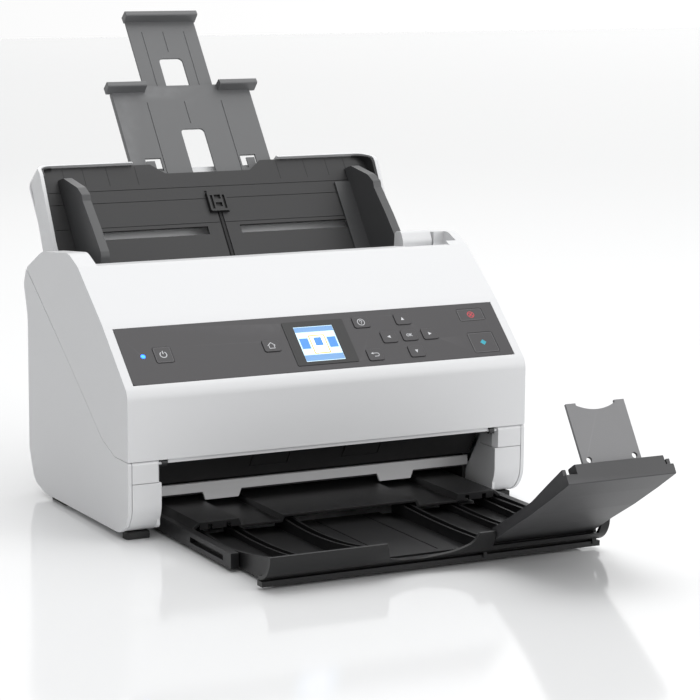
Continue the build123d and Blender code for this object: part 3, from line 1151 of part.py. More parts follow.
# ---------------------------------------------------------------- everything, by name
def build_parts():
    """Every piece under its own name; a list holds the separate copies of one kind of piece."""
    right_guide, left_guide = edge_guides()
    parts = {
        "base_chassis": base_chassis(),
        "side_covers": both_sides(side_cover()),
        "rear_cover": rear_cover(),
        "corner_blocks": both_sides(front_corner()),
        "hinge_covers": both_sides(hinge_cover()),
        "side_frames": side_frames(),
        "lower_paper_guide": lower_paper_guide(),
        "exit_guide_bar": exit_guide_bar(),
        "rubber_feet": feet(),
        "main_board": main_board(),
        "rear_sockets": [usb_port(), dc_jack()],
        "lower_scan_module": scan_module(-1),
        "lower_scan_glass": scan_glass(-1),
        "feed_motor": feed_motor(),
        "input_tray": input_tray(),
        "tray_back_shell": tray_back_shell(),
        "centre_clip": centre_clip(),
        "motor_pinion": gear(MOTOR_AXIS, PINION_TEETH, PINION_TOOTH, 1.0) + motor_shaft(),
        "feed_shaft": drive_shaft(FEED_T),
        "feed_tyres": tyre_set(FEED_T, ROLLER_N, SHAFT_R, ROLLER_R),
        "feed_gear": gear(FEED_AXIS, FEED_TEETH, FEED_TOOTH, SHAFT_R),
        "exit_shaft": drive_shaft(EXIT_T),
        "exit_tyres": tyre_set(EXIT_T, ROLLER_N, SHAFT_R, ROLLER_R),
        "exit_gear": gear(EXIT_AXIS, EXIT_TEETH, EXIT_TOOTH, SHAFT_R),
        "pickup_roller": pickup_roller(),
        "exit_idler_gear": gear(EXIT_IDLER_AXIS, EXIT_IDLER_TEETH, EXIT_IDLER_TOOTH, STUD_R + RUNNING),
        "pickup_idler_gear": gear(PICK_IDLER_AXIS, PICK_IDLER_TEETH, PICK_IDLER_TOOTH, STUD_R + RUNNING),
        "front_cover": front_cover(),
        "upper_paper_guide": upper_paper_guide(),
        "upper_scan_module": scan_module(1),
        "upper_scan_glass": scan_glass(1),
        "feed_pinch_roller": pinch_roller(FEED_T),
        "exit_pinch_roller": pinch_roller(EXIT_T),
        "separation_roller": separation_roller(),
        "release_lever": release_lever(),
        "control_panel": control_panel(),
        "lcd_bezel": lcd_bezel(),
        "lcd_screen": lcd_screen(),
        "status_light": status_light(),
        "panel_board": panel_board(),
        "right_edge_guide": right_guide,
        "left_edge_guide": left_guide,
        "guide_pinion": guide_pinion(),
        "lower_support": support_lower(),
        "upper_support": support_upper(),
        "output_tray": output_tray(),
        "output_extension": output_extension(),
        "stopper_flap": stopper_flap(),
        "stopper_plate": stopper_plate(),
    }
    for name in BUTTONS:
        parts[name] = button(name)
    return parts


def as_shape(piece):
    """One shape from a piece or from a list of separate copies."""
    solids = piece if isinstance(piece, list) else [piece]
    solids = [solid for item in solids for solid in item.solids()]
    return solids[0] if len(solids) == 1 else Compound(solids)


def main():
    os.makedirs("parts", exist_ok=True)
    shapes = {name: as_shape(piece) for name, piece in build_parts().items()}
    box = Compound(list(shapes.values())).bounding_box()
    shift = Pos(0, -(box.min.Y + box.max.Y) / 2, -box.min.Z)
    for name, shape in shapes.items():
        export_step(shift * shape, f"parts/{name}.step")


if __name__ == "__main__":
    main()
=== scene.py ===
"""Looks of a desktop sheet-fed document scanner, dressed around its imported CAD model.

Lengths are in metres in the model's own frame: X to the right, Y to the back, Z up.
"""

import json
import logging
import math
from dataclasses import dataclass, field
from enum import Enum

import bmesh
import bpy
from mathutils import Matrix, Vector


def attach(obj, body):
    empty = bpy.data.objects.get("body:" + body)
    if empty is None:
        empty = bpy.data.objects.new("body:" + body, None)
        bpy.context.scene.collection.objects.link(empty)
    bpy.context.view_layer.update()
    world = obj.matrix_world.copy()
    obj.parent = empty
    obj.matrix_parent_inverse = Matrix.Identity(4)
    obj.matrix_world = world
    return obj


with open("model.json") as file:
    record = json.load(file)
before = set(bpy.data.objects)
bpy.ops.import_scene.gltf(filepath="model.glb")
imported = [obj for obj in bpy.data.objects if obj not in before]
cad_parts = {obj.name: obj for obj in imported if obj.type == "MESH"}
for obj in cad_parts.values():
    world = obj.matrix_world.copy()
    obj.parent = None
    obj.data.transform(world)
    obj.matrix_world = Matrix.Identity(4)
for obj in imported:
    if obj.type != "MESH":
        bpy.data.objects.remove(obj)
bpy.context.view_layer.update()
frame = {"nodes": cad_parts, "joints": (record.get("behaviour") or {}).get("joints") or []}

log = logging.getLogger("scanner")

MM = 0.001
WELD_GAP = 0.01 * MM        # vertices closer than this are one vertex
INK_ROOT = 0.1 * MM         # how far a printed mark reaches into the piece under it
INK_LIFT = 0.03 * MM        # how far it stands proud
LINE_ROOT = 0.5 * MM        # the same for the lines on the tray, whose face is not quite even

Point = tuple[float, float]
Colour = tuple[float, float, float]


# ------------------------------------------------------------------ frames of reference
@dataclass(frozen=True)
class Placement:
    """A flat drawing board in space: an origin and three unit directions."""

    origin: Vector
    across: Vector
    along: Vector
    out: Vector

    def point(self, a: float, b: float, c: float) -> Vector:
        """The point at a across, b along and c out of the board, in metres."""
        return self.origin + self.across * a + self.along * b + self.out * c

    def span(self, node: str) -> tuple[Vector, Vector]:
        """Lowest and highest coordinates of a CAD node in this board's directions.

        Args:
            node: name of the CAD node.

        Returns:
            Two vectors of (across, along, out).
        """
        low = Vector((1e9, 1e9, 1e9))
        high = -low
        for vertex in frame["nodes"][node].data.vertices:
            offset = vertex.co - self.origin
            place = (offset.dot(self.across), offset.dot(self.along), offset.dot(self.out))
            low = Vector(map(min, low, place))
            high = Vector(map(max, high, place))
        return low, high


def joint(name: str) -> dict:
    """The record's joint of that name."""
    return next(j for j in frame["joints"] if j["name"] == name)


def board_on(node: str, out: Vector) -> Placement:
    """A board whose out direction is given, with its origin on a node's outermost face.

    Args:
        node: CAD node that the board lies on.
        out: unit normal, square to X.

    Returns:
        The placement, with X as its across direction and its origin at X = 0.
    """
    across = Vector((1.0, 0.0, 0.0))
    along = out.cross(across)
    loose = Placement(Vector((0.0, 0.0, 0.0)), across, along, out)
    low, high = loose.span(node)
    return Placement(loose.point(0.0, low.y, high.z), across, along, out)


# ------------------------------------------------------------------ mesh building
def split_shading(thing: bpy.types.Object, angle: float = 28.0) -> None:
    """Shades a piece smoothly and keeps its sharp edges crisp, with no rounding.

    Args:
        thing: the object, whose own mesh stays as it is.
        angle: edges bent by more than this many degrees stay crisp.
    """
    weld = thing.modifiers.new("weld", "WELD")
    weld.merge_threshold = WELD_GAP
    split = thing.modifiers.new("split", "EDGE_SPLIT")
    split.split_angle = math.radians(angle)
    smooth = thing.modifiers.new("shading", "WEIGHTED_NORMAL")
    smooth.mode = "FACE_AREA"
    smooth.weight = 100
    for polygon in thing.data.polygons:
        polygon.use_smooth = True


def new_object(name: str, mesh: bpy.types.Mesh) -> bpy.types.Object:
    """Puts a mesh into the scene under a name."""
    thing = bpy.data.objects.new(name, mesh)
    bpy.context.scene.collection.objects.link(thing)
    return thing


def rounded_outline(width: float, height: float, radius: float, steps: int = 5) -> list[Point]:
    """Corner points of a rectangle with round corners, centred on the origin.

    Args:
        width: size across.
        height: size along.
        radius: corner radius.
        steps: segments in each corner.

    Returns:
        The outline, counter-clockwise.
    """
    points = []
    for turn, (sx, sy) in enumerate(((1, 1), (-1, 1), (-1, -1), (1, -1))):
        for step in range(steps + 1):
            angle = math.pi / 2 * (turn + step / steps)
            points.append((sx * (width / 2 - radius) + radius * math.cos(angle),
                           sy * (height / 2 - radius) + radius * math.sin(angle)))
    return points


def disc_outline(radius: float, steps: int = 32) -> list[Point]:
    """Points of a circle centred on the origin."""
    return [(radius * math.cos(2 * math.pi * i / steps), radius * math.sin(2 * math.pi * i / steps))
            for i in range(steps)]


def arc_band(radius: float, width: float, start: float, end: float, steps: int = 24) -> list[Point]:
    """A bent bar with round ends.

    Args:
        radius: radius of the bar's middle line.
        width: the bar's width.
        start: first angle, in degrees.
        end: last angle, in degrees.
        steps: segments along the bar.

    Returns:
        The closed outline.
    """
    outline = []
    for side, order in ((width / 2, range(steps + 1)), (-width / 2, range(steps, -1, -1))):
        for i in order:
            angle = math.radians(start + (end - start) * i / steps)
            outline.append(((radius + side) * math.cos(angle), (radius + side) * math.sin(angle)))
    return outline


def bar(a: Point, b: Point, width: float) -> list[Point]:
    """Outline of a straight bar from a to b."""
    run = Vector((b[0] - a[0], b[1] - a[1]))
    side = Vector((-run.y, run.x)).normalized() * width / 2
    return [(a[0] + side.x, a[1] + side.y), (a[0] - side.x, a[1] - side.y),
            (b[0] - side.x, b[1] - side.y), (b[0] + side.x, b[1] + side.y)]


def moved(outline: list[Point], x: float, y: float, scale: float = 1.0) -> list[Point]:
    """The outline scaled and shifted."""
    return [(p[0] * scale + x, p[1] * scale + y) for p in outline]


@dataclass
class PlateShop:
    """Builds flat pieces from outlines drawn on a placement."""

    board: Placement

    def build(self, name: str, outlines: list[list[Point]], low: float,
              high: float) -> bpy.types.Object:
        """Extrudes outlines into one object.

        Args:
            name: name of the piece.
            outlines: closed outlines in metres, each a separate island.
            low: height of the underside over the board.
            high: height of the top.

        Returns:
            The new object.
        """
        mesh = bpy.data.meshes.new(name)
        build = bmesh.new()
        for outline in outlines:
            base = [build.verts.new(self.board.point(x, y, low)) for x, y in outline]
            top = [build.verts.new(self.board.point(x, y, high)) for x, y in outline]
            count = len(outline)
            for i in range(count):
                j = (i + 1) % count
                build.faces.new((base[i], base[j], top[j], top[i]))
            build.faces.new(list(reversed(base)))
            build.faces.new(top)
        bmesh.ops.recalc_face_normals(build, faces=build.faces)
        build.to_mesh(mesh)
        build.free()
        return new_object(name, mesh)


def soften(thing: bpy.types.Object, width: float, segments: int = 2, angle: float = 32.0) -> None:
    """Rounds a piece's sharp edges and smooths its shading.

    Args:
        thing: the object, whose own mesh stays as it is.
        width: bevel width in metres.
        segments: segments of the rounding.
        angle: edges bent by more than this many degrees are rounded.
    """
    weld = thing.modifiers.new("weld", "WELD")
    weld.merge_threshold = WELD_GAP
    flat = thing.modifiers.new("clean", "DECIMATE")
    flat.decimate_type = "DISSOLVE"
    flat.angle_limit = math.radians(0.6)
    bevel = thing.modifiers.new("bevel", "BEVEL")
    bevel.width = width
    bevel.segments = segments
    bevel.limit_method = "ANGLE"
    bevel.angle_limit = math.radians(angle)
    split = thing.modifiers.new("split", "EDGE_SPLIT")
    split.split_angle = math.radians(24.0)
    smooth = thing.modifiers.new("shading", "WEIGHTED_NORMAL")
    smooth.mode = "FACE_AREA"
    smooth.weight = 100
    smooth.thresh = 0.01
    for polygon in thing.data.polygons:
        polygon.use_smooth = True


# ------------------------------------------------------------------ shader groups
class GroupBuilder:
    """Writes one shader node group with named sockets."""

    def __init__(self, name: str) -> None:
        """Starts an empty group of that name."""
        self.tree = bpy.data.node_groups.new(name, "ShaderNodeTree")
        self.entry = self.tree.nodes.new("NodeGroupInput")
        self.exit = self.tree.nodes.new("NodeGroupOutput")

    def socket(self, name: str, kind: str, outgoing: bool, value: float | None = None) -> None:
        """Adds a socket.

        Args:
            name: the socket's name.
            kind: "Float", "Color" or "Vector".
            outgoing: True for an output.
            value: default of a float input.
        """
        made = self.tree.interface.new_socket(name=name, in_out="OUTPUT" if outgoing else "INPUT",
                                              socket_type="NodeSocket" + kind)
        if value is not None:
            made.default_value = value

    def node(self, kind: str, **settings: object) -> bpy.types.Node:
        """Adds a node and sets its properties."""
        made = self.tree.nodes.new("ShaderNode" + kind)
        for key, value in settings.items():
            setattr(made, key, value)
        return made

    def link(self, source: bpy.types.NodeSocket, target: bpy.types.NodeSocket) -> None:
        """Joins two sockets."""
        self.tree.links.new(source, target)


def mould_grain_group() -> bpy.types.ShaderNodeTree:
    """Fine spark-eroded texture of moulded plastic.

    Returns:
        A group with inputs Scale and Spread, and outputs Height and Tone.
    """
    g = GroupBuilder("mould_grain")
    g.socket("Scale", "Float", False, 2500.0)
    g.socket("Spread", "Float", False, 0.5)
    g.socket("Height", "Float", True)
    g.socket("Tone", "Float", True)
    place = g.node("TexCoord")
    fine = g.node("TexNoise")
    fine.inputs["Detail"].default_value = 3.0
    cells = g.node("TexVoronoi")
    wide = g.node("TexNoise")
    wide.inputs["Scale"].default_value = 22.0
    wide.inputs["Detail"].default_value = 4.0
    mix = g.node("Math", operation="MULTIPLY_ADD")
    for texture in (fine, cells):
        g.link(place.outputs["Object"], texture.inputs["Vector"])
        g.link(g.entry.outputs["Scale"], texture.inputs["Scale"])
    g.link(place.outputs["Object"], wide.inputs["Vector"])
    g.link(fine.outputs[0], mix.inputs[0])
    g.link(g.entry.outputs["Spread"], mix.inputs[1])
    g.link(cells.outputs["Distance"], mix.inputs[2])
    g.link(mix.outputs[0], g.exit.inputs["Height"])
    g.link(wide.outputs[0], g.exit.inputs["Tone"])
    return g.tree


def worn_edge_group() -> bpy.types.ShaderNodeTree:
    """Mask of edges polished by handling, broken up by noise.

    Returns:
        A group with inputs Reach and Break, and the output Mask.
    """
    g = GroupBuilder("worn_edge")
    g.socket("Reach", "Float", False, 0.52)
    g.socket("Break", "Float", False, 140.0)
    g.socket("Mask", "Float", True)
    shape = g.node("NewGeometry")
    place = g.node("TexCoord")
    noise = g.node("TexNoise")
    lift = g.node("Math", operation="SUBTRACT", use_clamp=True)
    gain = g.node("Math", operation="MULTIPLY", use_clamp=True)
    gain.inputs[1].default_value = 9.0
    broken = g.node("Math", operation="MULTIPLY", use_clamp=True)
    g.link(shape.outputs["Pointiness"], lift.inputs[0])
    g.link(g.entry.outputs["Reach"], lift.inputs[1])
    g.link(lift.outputs[0], gain.inputs[0])
    g.link(place.outputs["Object"], noise.inputs["Vector"])
    g.link(g.entry.outputs["Break"], noise.inputs["Scale"])
    g.link(gain.outputs[0], broken.inputs[0])
    g.link(noise.outputs[0], broken.inputs[1])
    g.link(broken.outputs[0], g.exit.inputs["Mask"])
    return g.tree


def fine_dust_group() -> bpy.types.ShaderNodeTree:
    """Mask of thin dust on faces that look up.

    Returns:
        A group with the inputs Amount and Scale, and the output Mask.
    """
    g = GroupBuilder("fine_dust")
    g.socket("Amount", "Float", False, 0.1)
    g.socket("Scale", "Float", False, 60.0)
    g.socket("Mask", "Float", True)
    shape = g.node("NewGeometry")
    split = g.node("SeparateXYZ")
    place = g.node("TexCoord")
    noise = g.node("TexNoise")
    noise.inputs["Detail"].default_value = 6.0
    up = g.node("Math", operation="MULTIPLY", use_clamp=True)
    full = g.node("Math", operation="MULTIPLY", use_clamp=True)
    g.link(shape.outputs["Normal"], split.inputs[0])
    g.link(place.outputs["Object"], noise.inputs["Vector"])
    g.link(g.entry.outputs["Scale"], noise.inputs["Scale"])
    g.link(split.outputs["Z"], up.inputs[0])
    g.link(noise.outputs[0], up.inputs[1])
    g.link(up.outputs[0], full.inputs[0])
    g.link(g.entry.outputs["Amount"], full.inputs[1])
    g.link(full.outputs[0], g.exit.inputs["Mask"])
    return g.tree


def brushed_group() -> bpy.types.ShaderNodeTree:
    """Long scratches of rolled or brushed metal along X.

    Returns:
        A group with the input Scale and the output Height.
    """
    g = GroupBuilder("brushed_lines")
    g.socket("Scale", "Float", False, 900.0)
    g.socket("Height", "Float", True)
    place = g.node("TexCoord")
    stretch = g.node("Mapping")
    stretch.inputs["Scale"].default_value = (0.02, 1.0, 1.0)
    noise = g.node("TexNoise")
    noise.inputs["Detail"].default_value = 4.0
    g.link(place.outputs["Object"], stretch.inputs["Vector"])
    g.link(stretch.outputs[0], noise.inputs["Vector"])
    g.link(g.entry.outputs["Scale"], noise.inputs["Scale"])
    g.link(noise.outputs[0], g.exit.inputs["Height"])
    return g.tree


@dataclass
class Effects:
    """The shared shader groups, built once."""

    grain: bpy.types.ShaderNodeTree = field(default_factory=mould_grain_group)
    wear: bpy.types.ShaderNodeTree = field(default_factory=worn_edge_group)
    dust: bpy.types.ShaderNodeTree = field(default_factory=fine_dust_group)
    brushed: bpy.types.ShaderNodeTree = field(default_factory=brushed_group)


# ------------------------------------------------------------------ finishes
class MaterialDesk:
    """A material's node tree with a Principled shader and short ways to add nodes to it."""

    def __init__(self, name: str) -> None:
        """Starts a material of that name."""
        self.material = bpy.data.materials.new(name)
        self.material.use_nodes = True
        self.nodes = self.material.node_tree.nodes
        self.links = self.material.node_tree.links
        self.shader = self.nodes["Principled BSDF"]

    def group(self, tree: bpy.types.ShaderNodeTree, **values: float) -> bpy.types.Node:
        """Places a shader group and sets its inputs."""
        made = self.nodes.new("ShaderNodeGroup")
        made.node_tree = tree
        for key, value in values.items():
            made.inputs[key].default_value = value
        return made

    def blend(self, mask: bpy.types.NodeSocket, low: Colour, high: Colour) -> bpy.types.NodeSocket:
        """A colour that goes from low to high as the mask goes from 0 to 1."""
        mix = self.nodes.new("ShaderNodeMix")
        mix.data_type = "RGBA"
        mix.inputs[6].default_value = (*low, 1.0)
        mix.inputs[7].default_value = (*high, 1.0)
        self.links.new(mask, mix.inputs[0])
        return mix.outputs[2]

    def over(self, mask: bpy.types.NodeSocket, under: bpy.types.NodeSocket,
             top: Colour) -> bpy.types.NodeSocket:
        """A colour laid over another one by a mask."""
        mix = self.nodes.new("ShaderNodeMix")
        mix.data_type = "RGBA"
        mix.inputs[7].default_value = (*top, 1.0)
        self.links.new(mask, mix.inputs[0])
        self.links.new(under, mix.inputs[6])
        return mix.outputs[2]

    def ranged(self, value: bpy.types.NodeSocket, low: float, high: float) -> bpy.types.NodeSocket:
        """Maps a value in 0 to 1 to the range from low to high."""
        made = self.nodes.new("ShaderNodeMapRange")
        made.inputs["To Min"].default_value = low
        made.inputs["To Max"].default_value = high
        self.links.new(value, made.inputs["Value"])
        return made.outputs[0]

    def bump(self, height: bpy.types.NodeSocket, depth: float, strength: float = 1.0) -> None:
        """Feeds the shader's normal with a bump of that depth in metres."""
        made = self.nodes.new("ShaderNodeBump")
        made.inputs["Distance"].default_value = depth
        made.inputs["Strength"].default_value = strength
        self.links.new(height, made.inputs["Height"])
        self.links.new(made.outputs[0], self.shader.inputs["Normal"])


def shade(colour: Colour, factor: float) -> Colour:
    """The colour made lighter or darker."""
    return tuple(min(1.0, c * factor) for c in colour)


@dataclass(frozen=True)
class Moulded:
    """Moulded plastic with an eroded grain, a slight mottle, polished edges and dust."""

    name: str
    colour: Colour
    roughness: float = 0.45
    grain: float = 2600.0
    depth: float = 0.000008
    mottle: float = 0.03
    wear: float = 0.15
    dust: float = 0.0
    coat: float = 0.0
    gloss: float = 0.5

    def build(self, effects: Effects) -> bpy.types.Material:
        """Makes the material.

        Args:
            effects: the shared shader groups.

        Returns:
            The finished material.
        """
        desk = MaterialDesk(self.name)
        grain = desk.group(effects.grain, Scale=self.grain, Spread=0.7)
        edges = desk.group(effects.wear, Reach=0.54, Break=160.0)
        dust = desk.group(effects.dust, Amount=self.dust, Scale=90.0)
        base = desk.blend(grain.outputs["Tone"], shade(self.colour, 1 - self.mottle),
                          shade(self.colour, 1 + self.mottle))
        base = desk.over(edges.outputs["Mask"], base, shade(self.colour, 1 + self.wear))
        base = desk.over(dust.outputs["Mask"], base, (0.55, 0.54, 0.52))
        desk.links.new(base, desk.shader.inputs["Base Color"])
        rough = desk.ranged(grain.outputs["Tone"], self.roughness - 0.05, self.roughness + 0.06)
        desk.links.new(rough, desk.shader.inputs["Roughness"])
        desk.shader.inputs["Specular IOR Level"].default_value = self.gloss
        desk.shader.inputs["Coat Weight"].default_value = self.coat
        desk.shader.inputs["Coat Roughness"].default_value = 0.2
        desk.bump(grain.outputs["Height"], self.depth)
        return desk.material


@dataclass(frozen=True)
class Metal:
    """Rolled or turned metal with fine lines."""

    name: str
    colour: Colour
    roughness: float = 0.3

    def build(self, effects: Effects) -> bpy.types.Material:
        """Makes the material from the shared shader groups."""
        desk = MaterialDesk(self.name)
        lines = desk.group(effects.brushed, Scale=1400.0)
        base = desk.blend(lines.outputs["Height"], shade(self.colour, 0.9), shade(self.colour, 1.1))
        desk.links.new(base, desk.shader.inputs["Base Color"])
        rough = desk.ranged(lines.outputs["Height"], self.roughness - 0.08, self.roughness + 0.12)
        desk.links.new(rough, desk.shader.inputs["Roughness"])
        desk.shader.inputs["Metallic"].default_value = 1.0
        desk.bump(lines.outputs["Height"], 0.000006)
        return desk.material


@dataclass(frozen=True)
class Rubber:
    """Soft dark rubber with a dull, slightly dusty face."""

    name: str
    colour: Colour

    def build(self, effects: Effects) -> bpy.types.Material:
        """Makes the material from the shared shader groups."""
        desk = MaterialDesk(self.name)
        grain = desk.group(effects.grain, Scale=900.0, Spread=1.0)
        dust = desk.group(effects.dust, Amount=0.25, Scale=200.0)
        base = desk.blend(grain.outputs["Tone"], shade(self.colour, 0.8), shade(self.colour, 1.4))
        base = desk.over(dust.outputs["Mask"], base, (0.2, 0.2, 0.19))
        desk.links.new(base, desk.shader.inputs["Base Color"])
        rough = desk.ranged(grain.outputs["Tone"], 0.7, 0.9)
        desk.links.new(rough, desk.shader.inputs["Roughness"])
        desk.bump(grain.outputs["Height"], 0.00003)
        return desk.material


@dataclass(frozen=True)
class ClearPane:
    """Clear glass or acrylic with faint smears in its gloss."""

    name: str
    tint: Colour
    roughness: float = 0.05

    def build(self, effects: Effects) -> bpy.types.Material:
        """Makes the material from the shared shader groups."""
        desk = MaterialDesk(self.name)
        smear = desk.group(effects.grain, Scale=40.0, Spread=1.0)
        desk.shader.inputs["Base Color"].default_value = (*self.tint, 1.0)
        desk.shader.inputs["Transmission Weight"].default_value = 0.9
        desk.shader.inputs["IOR"].default_value = 1.49
        rough = desk.ranged(smear.outputs["Tone"], self.roughness, self.roughness + 0.1)
        desk.links.new(rough, desk.shader.inputs["Roughness"])
        return desk.material


@dataclass(frozen=True)
class Lit:
    """A lit surface such as a lamp or a screen cell, with a faint cell pattern."""

    name: str
    colour: Colour
    strength: float
    cells: float = 3200.0
    contrast: float = 0.12

    def build(self, effects: Effects) -> bpy.types.Material:
        """Makes the material from the shared shader groups."""
        desk = MaterialDesk(self.name)
        pattern = desk.group(effects.grain, Scale=self.cells, Spread=0.4)
        base = desk.blend(pattern.outputs["Height"], shade(self.colour, 1 - self.contrast),
                          shade(self.colour, 1 + self.contrast))
        desk.links.new(base, desk.shader.inputs["Base Color"])
        desk.links.new(base, desk.shader.inputs["Emission Color"])
        desk.shader.inputs["Emission Strength"].default_value = self.strength
        rough = desk.ranged(pattern.outputs["Tone"], 0.12, 0.28)
        desk.links.new(rough, desk.shader.inputs["Roughness"])
        return desk.material


class Finish(Enum):
    """Every finish of the scanner, by the piece of plastic, metal or rubber that has it."""

    SHELL = Moulded("shell_white", (0.70, 0.705, 0.715), roughness=0.42, depth=0.000006, mottle=0.008,
                    wear=0.03)
    PANEL = Moulded("panel_charcoal", (0.060, 0.058, 0.061), roughness=0.36, mottle=0.04, wear=0.35,
                    depth=0.000004, grain=3200.0, gloss=0.3)
    KEY = Moulded("key_charcoal", (0.052, 0.050, 0.053), roughness=0.33, mottle=0.03, wear=0.6,
                  depth=0.000003, grain=3200.0, gloss=0.35)
    TRAY = Moulded("tray_charcoal", (0.028, 0.028, 0.029), roughness=0.45, mottle=0.06, wear=0.4, gloss=0.4)
    SUPPORT = Moulded("support_grey", (0.115, 0.117, 0.12), roughness=0.42, mottle=0.05, wear=0.4)
    STACKER = Moulded("stacker_black", (0.009, 0.009, 0.0095), roughness=0.36, mottle=0.08, wear=0.8,
                      depth=0.000012, dust=0.01, gloss=0.3)
    FLAP = Moulded("flap_charcoal", (0.040, 0.040, 0.042), roughness=0.42, mottle=0.05, wear=0.8)
    PLATE = Moulded("plate_grey", (0.19, 0.19, 0.195), roughness=0.42, mottle=0.04, wear=0.3)
    GUIDE = Moulded("guide_charcoal", (0.06, 0.061, 0.063), roughness=0.4, mottle=0.05, wear=0.3)
    GUIDE_RIM = Moulded("guide_rim_grey", (0.24, 0.245, 0.25), roughness=0.4, mottle=0.04, wear=0.2)
    INNER = Moulded("inner_black", (0.018, 0.018, 0.0185), roughness=0.5, mottle=0.1, wear=0.6,
                    depth=0.000012)
    BAR = Moulded("bar_grey", (0.62, 0.62, 0.625), roughness=0.42, mottle=0.04, wear=0.2)
    GEAR = Moulded("gear_cream", (0.66, 0.63, 0.55), roughness=0.4, mottle=0.05, wear=0.1)
    BOARD = Moulded("board_green", (0.02, 0.11, 0.045), roughness=0.35, mottle=0.2, wear=0.4,
                    grain=600.0, depth=0.00002)
    INK_PALE = Moulded("ink_pale", (0.55, 0.56, 0.58), roughness=0.5, mottle=0.05, depth=0.000002)
    INK_DIM = Moulded("ink_dim", (0.16, 0.16, 0.165), roughness=0.5, mottle=0.05, depth=0.000002)
    INK_RED = Moulded("ink_red", (0.62, 0.05, 0.07), roughness=0.45, mottle=0.05, depth=0.000002)
    INK_TEAL = Moulded("ink_teal", (0.02, 0.33, 0.42), roughness=0.45, mottle=0.05, depth=0.000002)
    # dark scale lines on the tray, and also the painted shade of the tray's centre groove
    SEAM = Moulded("dark_line_and_painted_shade", (0.006, 0.006, 0.0065), roughness=0.7, mottle=0.1)
    STEEL = Metal("rolled_steel", (0.56, 0.56, 0.57))
    TYRE = Rubber("rubber_black", (0.022, 0.022, 0.022))
    PANE = ClearPane("clear_pane", (0.9, 0.94, 0.95))
    LAMP = Lit("lamp_blue", (0.01, 0.10, 0.95), 6.0)
    SCREEN = Lit("screen_pale", (0.46, 0.62, 0.72), 0.75)
    SCREEN_BAR = Lit("screen_bar", (0.10, 0.22, 0.42), 0.7)
    SCREEN_BLUE = Lit("screen_blue", (0.03, 0.16, 0.50), 0.8)
    SCREEN_WHITE = Lit("screen_white", (0.85, 0.88, 0.90), 0.9)
    SCREEN_ORANGE = Lit("screen_orange", (0.75, 0.30, 0.03), 0.8)


class Wardrobe:
    """Makes each finish once and puts it on pieces."""

    def __init__(self) -> None:
        """Builds the shared shader groups."""
        self.effects = Effects()
        self.made: dict[Finish, bpy.types.Material] = {}

    def material(self, finish: Finish) -> bpy.types.Material:
        """The material of a finish, made when first asked for."""
        if finish not in self.made:
            self.made[finish] = finish.value.build(self.effects)
        return self.made[finish]

    def dress(self, thing: bpy.types.Object, finish: Finish) -> None:
        """Puts a finish on every face of a piece."""
        thing.data.materials.clear()
        thing.data.materials.append(self.material(finish))

    def dress_node(self, node: str, finish: Finish, bevel: float = 0.0, segments: int = 2) -> None:
        """Puts a finish on a CAD node and rounds its edges.

        Args:
            node: name of the CAD node.
            finish: the finish to use.
            bevel: width of the edge rounding in metres, or 0 for none.
            segments: segments of the rounding.
        """
        thing = frame["nodes"][node]
        self.dress(thing, finish)
        if bevel > 0:
            soften(thing, bevel, segments)
        else:
            split_shading(thing)
        log.info("dressed %s", node)


# ------------------------------------------------------------------ sub-assemblies
@dataclass
class Sub:
    """Base of every sub-assembly: it dresses CAD nodes and adds its own pieces."""

    wardrobe: Wardrobe

    def add(self, thing: bpy.types.Object, body: str, finish: Finish, slot: str) -> bpy.types.Object:
        """Dresses a new piece and hangs it on a body.

        Args:
            thing: the new piece, already in place.
            body: the CAD body that it moves with.
            finish: its finish.
            slot: the record's material slot that it belongs to; not used.

        Returns:
            The same piece.
        """
        self.wardrobe.dress(thing, finish)
        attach(thing, body)
        log.info("built %s", thing.name)
        return thing


@dataclass
class Shell(Sub):
    """White outer covers."""

    bevel: float = 0.0005

    def build(self) -> None:
        """Dresses the covers, the corner blocks, the tray's back shell and the lever."""
        for node in ("front_cover", "side_covers", "rear_cover", "corner_blocks", "hinge_covers",
                     "tray_back_shell", "release_lever"):
            self.wardrobe.dress_node(node, Finish.SHELL, self.bevel)


class Glyph(Enum):
    """Marks printed on the keys."""

    POWER = "power_button"
    HOME = "home_button"
    HELP = "help_button"
    BACK = "back_button"
    UP = "up_button"
    LEFT = "left_button"
    OK = "ok_button"
    RIGHT = "right_button"
    DOWN = "down_button"
    STOP = "stop_button"
    START = "start_button"


def triangle(size: float, angle: float) -> list[Point]:
    """A small triangle that points along an angle, in degrees."""
    points = []
    for corner, reach in ((0.0, 1.0), (130.0, 1.05), (230.0, 1.05)):
        turn = math.radians(angle + corner)
        points.append((size * reach * math.cos(turn), size * reach * math.sin(turn)))
    return points


def ring_outlines(radius: float, width: float, gap: float = 0.0) -> list[list[Point]]:
    """A ring as one or two bent bars.

    Args:
        radius: middle radius.
        width: line width.
        gap: half of an opening at the top, in degrees.

    Returns:
        Outlines that make the ring.
    """
    if gap > 0:
        return [arc_band(radius, width, 90 + gap, 450 - gap)]
    return [arc_band(radius, width, 0, 180), arc_band(radius, width, 180, 360)]


def frame_outlines(width: float, height: float, line: float) -> list[list[Point]]:
    """A rectangular frame as four bars around a centre."""
    x, y = width / 2, height / 2
    corners = [(x, y), (-x, y), (-x, -y), (x, -y)]
    return [bar(corners[i], corners[(i + 1) % 4], line) for i in range(4)]


